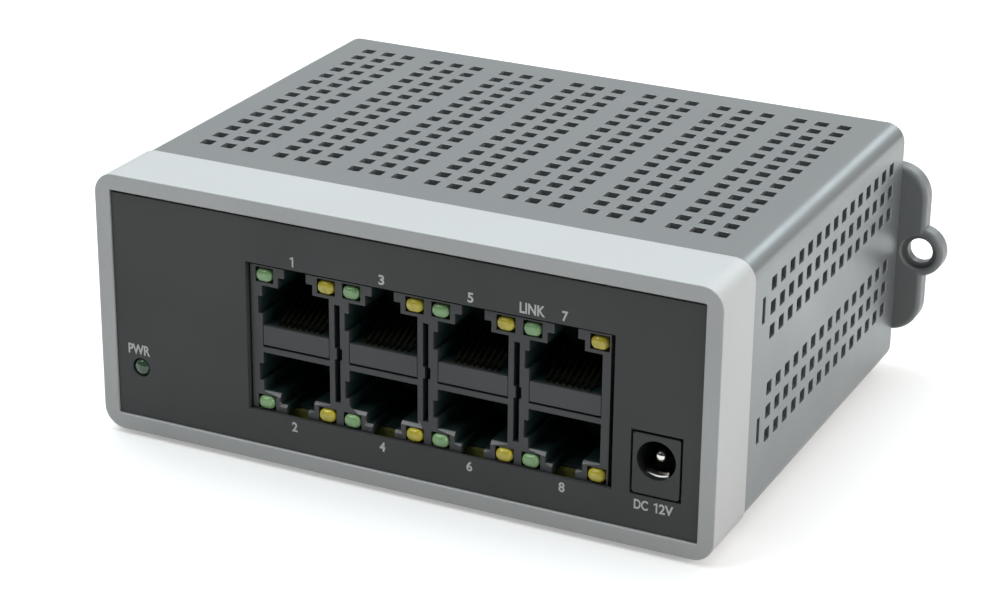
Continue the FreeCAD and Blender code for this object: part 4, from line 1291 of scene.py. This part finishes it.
@dataclass
class WallBracket:
    """Moulded plate on the rear wall with a recessed screw ear at each end."""

    half: float = 57.275
    corner: float = 5.45
    ear: Flat = (56.4, 4.25)
    hole: float = 2.175
    recess: Flat = (3.0, 1.3)
    screw_spread: float = 32.7
    screw_hole: float = 1.6
    head_seat: Flat = (3.0, 2.0)
    front_edge: float = 0.8
    back_edge: float = 0.27
    mouth_edge: float = 0.2
    edge_steps: int = 5
    corner_steps: int = 12
    ear_steps: int = 28
    ring_steps: int = 48

    def __post_init__(self) -> None:
        """Reads the plate's place from its solid."""
        low, high = node_box("mounting_bracket")
        self.front, self.back = low.y, high.y
        self.low, self.high = low.z, high.z
        self.middle = (low.z + high.z) / 2

    def outline(self, inset: float) -> list[Flat]:
        """Draws the plate with its ears.

        Args:
            inset: How far the outline is set in.

        Returns:
            Pairs of X and Z, counter-clockwise seen from the front.
        """
        half, bend = self.half - inset, self.corner - inset
        ear_x, ear_radius = self.ear[0], self.ear[1] - inset
        open_turn = math.acos((half - ear_x) / ear_radius)

        def arc(x: float, z: float, radius: float, start: float, end: float, steps: int) -> list[Flat]:
            """Points along an arc."""
            turns = (start + (end - start) * step / steps for step in range(steps + 1))
            return [(x + radius * math.cos(turn), z + radius * math.sin(turn)) for turn in turns]

        right = math.pi / 2
        low, high = self.low + inset + bend, self.high - inset - bend
        middle, ear_steps = self.middle, self.ear_steps
        return [
            *arc(half - bend, low, bend, -right, 0.0, self.corner_steps),
            *arc(ear_x, middle, ear_radius, -open_turn, open_turn, ear_steps),
            *arc(half - bend, high, bend, 0.0, right, self.corner_steps),
            *arc(bend - half, high, bend, right, 2 * right, self.corner_steps),
            *arc(-ear_x, middle, ear_radius, 2 * right - open_turn, 2 * right + open_turn, ear_steps),
            *arc(bend - half, low, bend, 2 * right, 3 * right, self.corner_steps),
        ]

    def bore(self, draft: Draft, x: float, profile: Sequence[Flat]) -> list[Verts]:
        """Bores a stepped hole of radius and depth pairs and gives its rings."""
        rings = ((ring_outline(x, self.middle, radius, self.ring_steps), y) for radius, y in profile)
        return draft.loft([upright(ring, y) for ring, y in rings])

    def build(self) -> None:
        """Makes the plate with rounded edges, the two ears and the two screw seats."""
        draft = Draft()
        section = [(inset, self.front + y) for inset, y in quarter_round(self.front_edge, self.edge_steps)]
        section += [(0.0, self.back - self.back_edge), (self.back_edge, self.back)]
        rows = draft.loft([upright(self.outline(inset), y) for inset, y in section])
        recess, depth = self.recess
        seat, seat_depth = self.head_seat
        edge = self.mouth_edge
        ear_profile = [
            (recess + edge, self.front), (recess, self.front + edge), (recess, self.front + depth),
            (self.hole, self.front + depth), (self.hole, self.back - edge), (self.hole + edge, self.back),
        ]
        screw_profile = [
            (self.screw_hole, self.front), (self.screw_hole, self.back - seat_depth),
            (seat, self.back - seat_depth), (seat, self.back - edge), (seat + edge, self.back),
        ]
        places = ((self.ear[0], ear_profile), (self.screw_spread, screw_profile))
        bores = [self.bore(draft, side.value * x, profile) for x, profile in places for side in Side]
        for end in (0, -1):
            draft.fill(rows[end], *(bore[end] for bore in bores))
        wear(even_shading(draft.piece("wall_bracket")), BRACKET_PLASTIC, "bracket", "mounting_bracket")


@dataclass
class PortBlock:
    """Stacked socket block: the moulding, its inserts, spring contacts and lamps."""

    edge: float = 0.1
    insert_edge: float = 0.16
    # Floor height, cut and share of painted highlight for each lead-in ramp.
    ramps: tuple[Triple, ...] = ((12.3, 0.46, 1.0), (10.55, 0.4, 0.7))
    columns: int = 4
    port_pitch: float = 15.24
    contacts: int = 8
    contact_pitch: float = 1.02
    strip: Flat = (0.44, 0.28)
    flat_run: float = 0.55
    bend_run: float = 0.8
    bend_shares: Triple = (0.35, 0.7, 1.0)
    lamp_corner: float = 1.0
    lamp_flat: float = 0.05
    lamp_rings: tuple[Flat, ...] = (
        (0.1, 0.55), (0.15, 0.32), (0.28, 0.1), (0.48, -0.06), (0.72, -0.14), (0.95, -0.17),
    )
    lamp_steps: int = 7

    def __post_init__(self) -> None:
        """Sets the run of the columns and the number of sockets."""
        self.column_run: Run = (self.columns, (self.port_pitch, 0.0, 0.0))
        self.ports = 2 * self.columns

    def ramp_edges(self, mesh: bmesh.types.BMesh) -> Ramps:
        """Finds the front edges of the lower sockets' floors, which are cut back to lead a plug in.

        Args:
            mesh: The block's mesh, in metres.

        Returns:
            For each height of floor its edges, how far they are cut back and the share of painted highlight
            on the cut.
        """
        front = node_box("port_housing")[0].y * MM
        for floor, cut, highlight_share in self.ramps:
            line = [vert for vert in mesh.verts if abs(vert.co.y - front) < SAME_PLACE]
            line = {vert for vert in line if abs(vert.co.z - floor * MM) < SAME_PLACE}
            yield [edge for edge in mesh.edges if line.issuperset(edge.verts)], cut, highlight_share

    def mouldings(self) -> None:
        """Rounds the edges of the block and of its inserts."""
        block = softened_solid("port_housing", "socket_block", self.edge, self.ramp_edges)
        wear(block, SOCKET_PLASTIC, "port_block", "port_housing")
        for column in range(1, self.columns + 1):
            node = f"contact_carrier_{column}"
            insert = softened_solid(node, f"insert_{column}", self.insert_edge)
            wear(insert, CARRIER_PLASTIC, "port_block", node)

    def spring(self, row: Row) -> Draft:
        """Draws one bent strip that lies on its wall and rises towards the back.

        Args:
            row: The row of sockets that it is for.

        Returns:
            The draft.
        """
        low, high = node_box("port_1_contacts")
        width, thickness = self.strip
        length = high.y - low.y
        middle = (node_box("port_housing")[0].z + node_box("port_housing")[1].z) / 2
        slope = (high.z - low.z - thickness) / (length - self.flat_run - self.bend_run / 2)
        path = [(0.0, 0.0), (self.flat_run, 0.0)]
        for share in self.bend_shares:
            path.append((self.flat_run + self.bend_run * share, slope * self.bend_run * share**2 / 2))
        path.append((length, path[-1][1] + slope * (length - (self.flat_run + self.bend_run))))
        loops = []
        for index, (along, up) in enumerate(path):
            before, after = path[max(index - 1, 0)], path[min(index + 1, len(path) - 1)]
            way = Vector((after[0] - before[0], after[1] - before[1])).normalized()
            loop = []
            for x, way_out in ((-width / 2, -1), (width / 2, -1), (width / 2, 1), (-width / 2, 1)):
                y = low.y + along - way.y * way_out * thickness / 2
                z = low.z + thickness / 2 + up + way.x * way_out * thickness / 2
                loop.append(Vector((x, y, z if row is Row.UPPER else 2 * middle - z)))
            loops.append(loop)
        draft = Draft()
        rows = draft.loft(loops)
        draft.mesh.faces.new(rows[0])
        draft.mesh.faces.new(rows[-1])
        return draft

    def springs(self) -> None:
        """Repeats the strip over the contacts of each row of sockets."""
        first = (node_box("port_1_contacts")[0].x + self.strip[0] / 2, 0.0, 0.0)
        contacts = (self.contacts, (self.contact_pitch, 0.0, 0.0))
        for row, start in ((Row.UPPER, 1), (Row.LOWER, 2)):
            one = self.spring(row).piece(f"{row.name.lower()}_springs")
            piece = REPEATER.repeat(one, SHADE_DARKENED_GOLD, first, contacts, self.column_run)
            nodes = (f"port_{port}_contacts" for port in range(start, self.ports + 1, 2))
            wear(even_shading(piece), SHADE_DARKENED_GOLD, "contact", *nodes)

    def lens(self, node: str) -> Draft:
        """Draws one lamp's rounded lens with its crown, about its own middle in X and Z.

        Args:
            node: The lamp's solid.

        Returns:
            The draft.
        """
        low, high = node_box(node)
        half, tall = (high.x - low.x) / 2, (high.z - low.z) / 2

        def ring(inset: float, y: float) -> Loop:
            """Draws one ring of the lens.

            Args:
                inset: How far it is set in.
                y: Its depth.

            Returns:
                The ring.
            """
            bend = min(self.lamp_corner, tall - inset - self.lamp_flat)
            outline = rounded_outline(half - inset, inset - tall, tall - inset, bend, self.lamp_steps)
            return upright(outline, y)

        draft = Draft()
        draft.cap(draft.loft([ring(0.0, high.y), *(ring(inset, low.y + y) for inset, y in self.lamp_rings)]))
        return draft

    def lamps(self) -> None:
        """Repeats the lens over both rows in each colour."""
        for colour, finish in (("green", GREEN_LENS), ("yellow", YELLOW_LENS)):
            nodes = [f"{colour}_lamp_{port}" for port in range(1, self.ports + 1)]
            middle, below = map(node_middle, nodes[:2])
            rows = (2, (0.0, 0.0, below.z - middle.z))
            one = self.lens(nodes[0]).piece(f"{colour}_lamps")
            piece = REPEATER.repeat(one, finish, (middle.x, 0.0, middle.z), self.column_run, rows=rows)
            wear(even_shading(piece, ROUND_ANGLE), finish, f"{colour}_lens", *nodes)

    def build(self) -> None:
        """Makes the whole block."""
        self.mouldings()
        self.springs()
        self.lamps()


@dataclass
class BarrelJack:
    """Power jack: moulded body with a round mouth, centre prong and side spring."""

    nose: Triple = (3.825, 9.6, 19.55)
    nose_depth: float = 1.05
    nose_corner: float = 0.5
    nose_steps: int = 6
    nose_edge: float = 0.18
    mouth: float = 3.06
    mouth_edge: float = 0.2
    mouth_depth: float = 9.5
    edge_middle: float = 0.3
    tip: tuple[Flat, ...] = (
        (1.0, -0.9), (0.96, -0.62), (0.84, -0.36), (0.62, -0.15), (0.34, -0.04), (0.08, 0.0),
    )
    tip_steps: int = 32
    spring_bow: float = 0.35
    spring_steps: int = 10
    lip: Flat = (1.0, 0.4)
    lip_middle: float = 0.3
    ring_steps: int = 56

    def __post_init__(self) -> None:
        """Reads the jack's axis from its prong."""
        low, high = node_box("jack_prong")
        self.x, self.z = (low.x + high.x) / 2, (low.z + high.z) / 2

    def eased(self, edge: float, depth: float) -> list[Flat]:
        """Gives an eased edge and the wall behind it as pairs of inset and depth."""
        middle = edge * self.edge_middle
        return [(edge, 0.0), (middle, middle), (0.0, edge), (0.0, depth)]

    def body(self) -> None:
        """Makes the body with its nose and mouth."""
        low, high = node_box("jack_housing")
        half, bottom, top = self.nose
        front = low.y

        def block(wide: float, base: float, head: float, y: float) -> Loop:
            """A ring of the nose, or of the wider body behind it."""
            return upright(rounded_outline(wide, base, head, self.nose_corner, self.nose_steps, self.x), y)

        nose = self.eased(self.nose_edge, self.nose_depth)
        loops = [block(half - inset, bottom + inset, top - inset, front + y) for inset, y in nose]
        loops += [block((high.x - low.x) / 2, low.z, high.z, y) for y in (front + self.nose_depth, high.y)]
        draft = Draft()
        outer = draft.loft(loops)
        inner = draft.loft([
            upright(ring_outline(self.x, self.z, self.mouth + wider, self.ring_steps), front + y)
            for wider, y in self.eased(self.mouth_edge, self.mouth_depth)
        ])
        draft.fill(outer[0], inner[0])
        draft.fill(inner[-1])
        draft.fill(outer[-1])
        wear(even_shading(draft.piece("jack_body")), BLACK_PLASTIC, "jack", "jack_housing")

    def spring(self) -> None:
        """Makes the bowed spring along the bottom of the mouth, its front lip bent down."""
        low, high = node_box("jack_spring")
        half, thickness = (high.x - low.x) / 2, high.z - low.z
        across = [half * (2 * step / self.spring_steps - 1) for step in range(self.spring_steps + 1)]
        reach, drop = self.lip

        def section(y: float, sink: float) -> Loop:
            """Draws the bowed section at one depth.

            Args:
                y: The depth.
                sink: How far it lies lower.

            Returns:
                The section.
            """
            lower = [(place, low.z - sink + self.spring_bow * (place / half) ** 2) for place in across]
            upper = [(place, height + thickness) for place, height in reversed(lower)]
            return [Vector((self.x + place, y, height)) for place, height in lower + upper]

        draft = Draft()
        draft.cap(draft.loft([
            section(low.y, drop), section(low.y + reach / 2, drop * self.lip_middle),
            section(low.y + reach, 0.0), section(high.y, 0.0),
        ]))
        wear(even_shading(draft.piece("side_spring")), BRIGHT_PLATE, "jack_metal", "jack_spring")

    def build(self) -> None:
        """Makes the jack's three pieces."""
        self.body()
        prong = front_pin("jack_prong", "prong", self.tip, steps=self.tip_steps)
        wear(prong, BRIGHT_PLATE, "jack_metal", "jack_prong")
        self.spring()


@dataclass
class PowerLamp:
    """Round indicator lamp that stands a little out of the faceplate."""

    apex: float = 0.5
    dome: tuple[Flat, ...] = (
        (1.0, -1.3), (0.975, -1.02), (0.91, -0.76), (0.8, -0.5), (0.65, -0.29), (0.47, -0.14), (0.27, -0.04),
        (0.08, 0.0),
    )

    def build(self) -> None:
        """Turns the lens."""
        lens = front_pin("power_lamp", "power_lens", self.dome, self.apex)
        wear(lens, POWER_LENS, "power_lens", "power_lamp")


@dataclass
class Fasteners:
    """Pan-head screws with a cross recess, under the flanges and in the bracket."""

    head: float = 2.7
    head_dome: tuple[Flat, ...] = ((1.0, 0.0), (1.0, 0.45), (0.95, 0.75), (0.84, 0.94), (0.7, 1.0))
    bracket_head: float = 1.6
    shank: float = 1.5
    cross_arm: float = 1.45
    cross_half: float = 0.36
    cross_depth: float = 0.62
    cross_taper: float = 0.72
    steps: int = 36

    def cross(self, scale: float, z: float) -> Loop:
        """Draws the recess at one height.

        Args:
            scale: Factor on its width.
            z: The height.

        Returns:
            The recess's outline.
        """
        arm, half = self.cross_arm * scale, self.cross_half * scale
        quarter = [(arm, -half), (arm, half), (half, half)]
        outline = []
        for _ in range(4):
            outline += quarter
            quarter = [(-y, x) for x, y in quarter]
        return level(outline, z)

    def screw(self, height: float, length: float) -> Draft:
        """Draws one screw with its seat at the origin and its head upwards.

        Args:
            height: Height of the head.
            length: Length of the shank.

        Returns:
            The draft.
        """
        draft = Draft()
        profile = [(self.shank, -length), (self.shank, 0.0)]
        profile += [(self.head * share, height * rise) for share, rise in self.head_dome]
        rows = draft.loft([level(ring_outline(0.0, 0.0, radius, self.steps), z) for radius, z in profile])
        draft.fill(rows[0])
        floor = height * (1 - self.cross_depth)
        recess = draft.loft([self.cross(1.0, height), self.cross(self.cross_taper, floor)])
        draft.fill(rows[-1], recess[0])
        draft.fill(recess[-1])
        return draft

    def place(
        self, node: str, name: str, one: Draft, quarters: int, first: Triple, columns: Run, rows: Run = ONCE
    ) -> None:
        """Turns one screw over, repeats it and dresses the group.

        Args:
            node: The solid that the group replaces.
            name: The group's name.
            one: The screw, with its head upwards.
            quarters: Its turn about X, in quarters.
            first: Place of the first screw's seat.
            columns: Count and step of the columns.
            rows: Count and step of the rows.
        """
        one.turn(Matrix.Rotation(quarters * math.pi / 2, 4, "X"))
        group = REPEATER.repeat(one.piece(name), ZINC, first, columns, rows=rows)
        wear(even_shading(group), ZINC, "screw", node)

    def build(self) -> None:
        """Sets the screws of the flanges and of the bracket."""
        low, high = node_box("cover_screws")
        seat = node_box("perforated_cover")[0].z
        columns = (2, (high.x - low.x - 2 * self.head, 0.0, 0.0))
        rows = (2, (0.0, high.y - low.y - 2 * self.head, 0.0))
        first = (low.x + self.head, low.y + self.head, seat)
        one = self.screw(seat - low.z, high.z - seat)
        self.place("cover_screws", "flange_screws", one, 2, first, columns, rows)
        low, high = node_box("bracket_screws")
        one = self.screw(self.bracket_head, high.y - low.y - self.bracket_head)
        columns = (2, (high.x - low.x - 2 * self.head, 0.0, 0.0))
        first = (low.x + self.head, high.y - self.bracket_head, (low.z + high.z) / 2)
        self.place("bracket_screws", "seat_screws", one, -1, first, columns)


@dataclass
class Underside:
    """Base pan with softened folds, and its rubber feet."""

    fold: float = 0.15
    foot_edge: tuple[Flat, ...] = ((0.8, 0.0), (0.92, 0.06), (0.985, 0.28), (1.0, 0.6))

    def build(self) -> None:
        """Makes the pan and the four feet."""
        wear(softened_solid("base_pan", "pan", self.fold), GREY_SHEET, "pan", "base_pan")
        names = [f"foot_{end}_{side.name.lower()}" for side in Side for end in ("front", "rear")]
        low, high = node_box(names[0])
        first, behind, beside = map(node_middle, names[:3])
        radius = (high.x - low.x) / 2
        draft = Draft()
        profile = [*((radius * share, z) for share, z in self.foot_edge), (radius, high.z)]
        draft.lathe(profile, Matrix.Identity(4))
        columns, rows = (2, (beside.x - first.x, 0.0, 0.0)), (2, (0.0, behind.y - first.y, 0.0))
        piece = REPEATER.repeat(draft.piece("feet"), RUBBER, (first.x, first.y, 0.0), columns, rows=rows)
        wear(even_shading(piece), RUBBER, "foot", *names)


@dataclass(frozen=True)
class SoftLamp:
    """A square lamp, with its place and size in metres and its power in watts."""

    name: str
    place: Triple
    size: float
    power: float
    colour: Triple = WHITE

    def hang(self, aim: Triple) -> None:
        """Hangs the lamp.

        Args:
            aim: The point that it shines at, in metres.
        """
        data = bpy.data.lights.new(self.name, "AREA")
        data.shape, data.size, data.energy, data.color = "SQUARE", self.size, self.power, self.colour
        lamp = as_object(self.name, data)
        lamp.location = self.place
        lamp.rotation_euler = (Vector(aim) - Vector(self.place)).to_track_quat("-Z", "Y").to_euler()


@dataclass
class Studio:
    """Pale floor, soft lamps and the camera at the photograph's view; fade, clip and aim are in metres."""

    azimuth: float = 25.70
    elevation: float = 22.727
    roll: float = 0.640
    lens: float = 98.52
    sensor: float = 36.0
    place: Triple = (178.516, -376.278, 191.685)
    clip: Flat = (0.01, 50.0)
    floor_reach: float = 6000.0
    floor_shade: float = 0.46
    floor_seen: float = 0.9
    floor_glow: float = 0.32
    floor_colour: Triple = (1.0, 0.985, 0.97)
    floor_fade: Flat = (0.22, 0.6)
    front_fill: float = 0.04
    back_fill: float = 0.92
    fill_range: Flat = (-0.8, 0.5)
    horizon: float = 0.25
    horizon_range: Flat = (0.0, 0.35)
    aim: Triple = (0.0, 0.0, 0.02)
    lamps: tuple[SoftLamp, ...] = (
        SoftLamp("top_lamp", (-0.3, 0.04, 1.0), 0.75, 6.2, (0.78, 0.935, 1.0)),
        SoftLamp("key_lamp", (-0.5, -0.65, 0.93), 0.24, 1.6),
        SoftLamp("rim_lamp", (0.2, 0.95, 0.61), 0.36, 1.35, (0.85, 0.96, 1.0)),
        SoftLamp("side_lamp", (1.0, -0.1, 0.45), 0.5, 4.1, (1.0, 0.97, 0.94)),
    )

    def camera(self) -> None:
        """Sets the camera from its solved angles and place."""
        turn, rise, roll = (math.radians(angle) for angle in (self.azimuth, self.elevation, self.roll))
        back = Vector((math.sin(turn) * math.cos(rise), -math.cos(turn) * math.cos(rise), math.sin(rise)))
        right = Vector((math.cos(turn), math.sin(turn), 0.0))
        up = back.cross(right)
        across = right * math.cos(roll) + up * math.sin(roll)
        above = up * math.cos(roll) - right * math.sin(roll)
        data = bpy.data.cameras.new("camera")
        data.sensor_width, data.lens = self.sensor, self.lens
        data.clip_start, data.clip_end = self.clip
        camera = as_object("camera", data)
        pose = Matrix((across, above, back)).transposed().to_4x4()
        pose.translation = Vector(self.place) * MM
        camera.matrix_world = pose
        bpy.context.scene.camera = camera

    def floor(self) -> None:
        """Lays the pale floor, which keeps the object's shadow."""
        draft = Draft()
        reach = self.floor_reach
        corners = [(-reach, -reach), (reach, -reach), (reach, reach), (-reach, reach)]
        draft.mesh.faces.new(draft.verts(level(corners, 0.0)))
        floor = as_object("floor", draft.to_mesh("floor"))
        sheet = ShaderBoard(bpy.data.materials.new("pale_floor"))
        path = sheet.node("ShaderNodeLightPath").outputs
        mirrored = sheet.maths("MAXIMUM", path["Is Camera Ray"], path["Is Glossy Ray"])
        seen = sheet.maths("MAXIMUM", mirrored, path["Is Transmission Ray"])
        dim, pale = (
            sheet.node("ShaderNodeBsdfDiffuse", {"Color": shade(self.floor_colour, factor)}).outputs[0]
            for factor in (self.floor_shade, self.floor_seen)
        )
        matt = sheet.node("ShaderNodeMixShader", {0: seen, 1: dim, 2: pale})
        place = sheet.node("ShaderNodeTexCoord").outputs["Object"]
        distance = sheet.node("ShaderNodeVectorMath", {0: place}, operation="LENGTH").outputs["Value"]
        share = sheet.maths("MULTIPLY", seen, sheet.span(distance, self.floor_fade, (self.floor_glow, 1.0)))
        glow = sheet.node("ShaderNodeEmission", {"Color": shade(WHITE, 1.0), "Strength": share})
        both = sheet.node("ShaderNodeAddShader", {0: matt.outputs[0], 1: glow.outputs[0]})
        floor.data.materials.append(sheet.close(both))
        floor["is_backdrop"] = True

    def world(self) -> None:
        """Makes surroundings that the camera sees as white, dimmer on its side and at the horizon."""
        sheet = ShaderBoard(bpy.data.worlds.new("studio"))
        place = sheet.node("ShaderNodeTexCoord").outputs["Generated"]
        parts = sheet.node("ShaderNodeSeparateXYZ", {0: place}).outputs
        fill = sheet.span(parts["Y"], self.fill_range, (self.front_fill, self.back_fill))
        rise = sheet.span(parts["Z"], self.horizon_range, (self.horizon, 1.0))
        path = sheet.node("ShaderNodeLightPath").outputs
        seen = sheet.maths("MAXIMUM", sheet.maths("MULTIPLY", fill, rise), path["Is Camera Ray"])
        light = sheet.node("ShaderNodeBackground", {"Color": shade(WHITE, 1.0), "Strength": seen})
        bpy.context.scene.world = sheet.close(light)

    def build(self) -> None:
        """Sets up the whole studio."""
        bpy.context.scene.view_settings.view_transform = "Standard"
        self.floor()
        self.world()
        self.camera()
        for lamp in self.lamps:
            lamp.hang(self.aim)


def main() -> None:
    """Builds the studio and every sub-assembly."""
    logging.basicConfig(level=logging.INFO, format="%(message)s")
    dress_solids()
    Studio().build()
    assemblies = (
        FrontBezel(), PerforatedCover(), Faceplate(), Markings(), WallBracket(), PortBlock(), BarrelJack(),
        PowerLamp(), Fasteners(), Underside(),
    )
    for assembly in assemblies:
        assembly.build()
    boxes = {"cad": CAD_BOX, "visual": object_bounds()}
    {name: [list(corner) for corner in corners] for name, corners in boxes.items()}


if __name__ == "__main__":
    main()
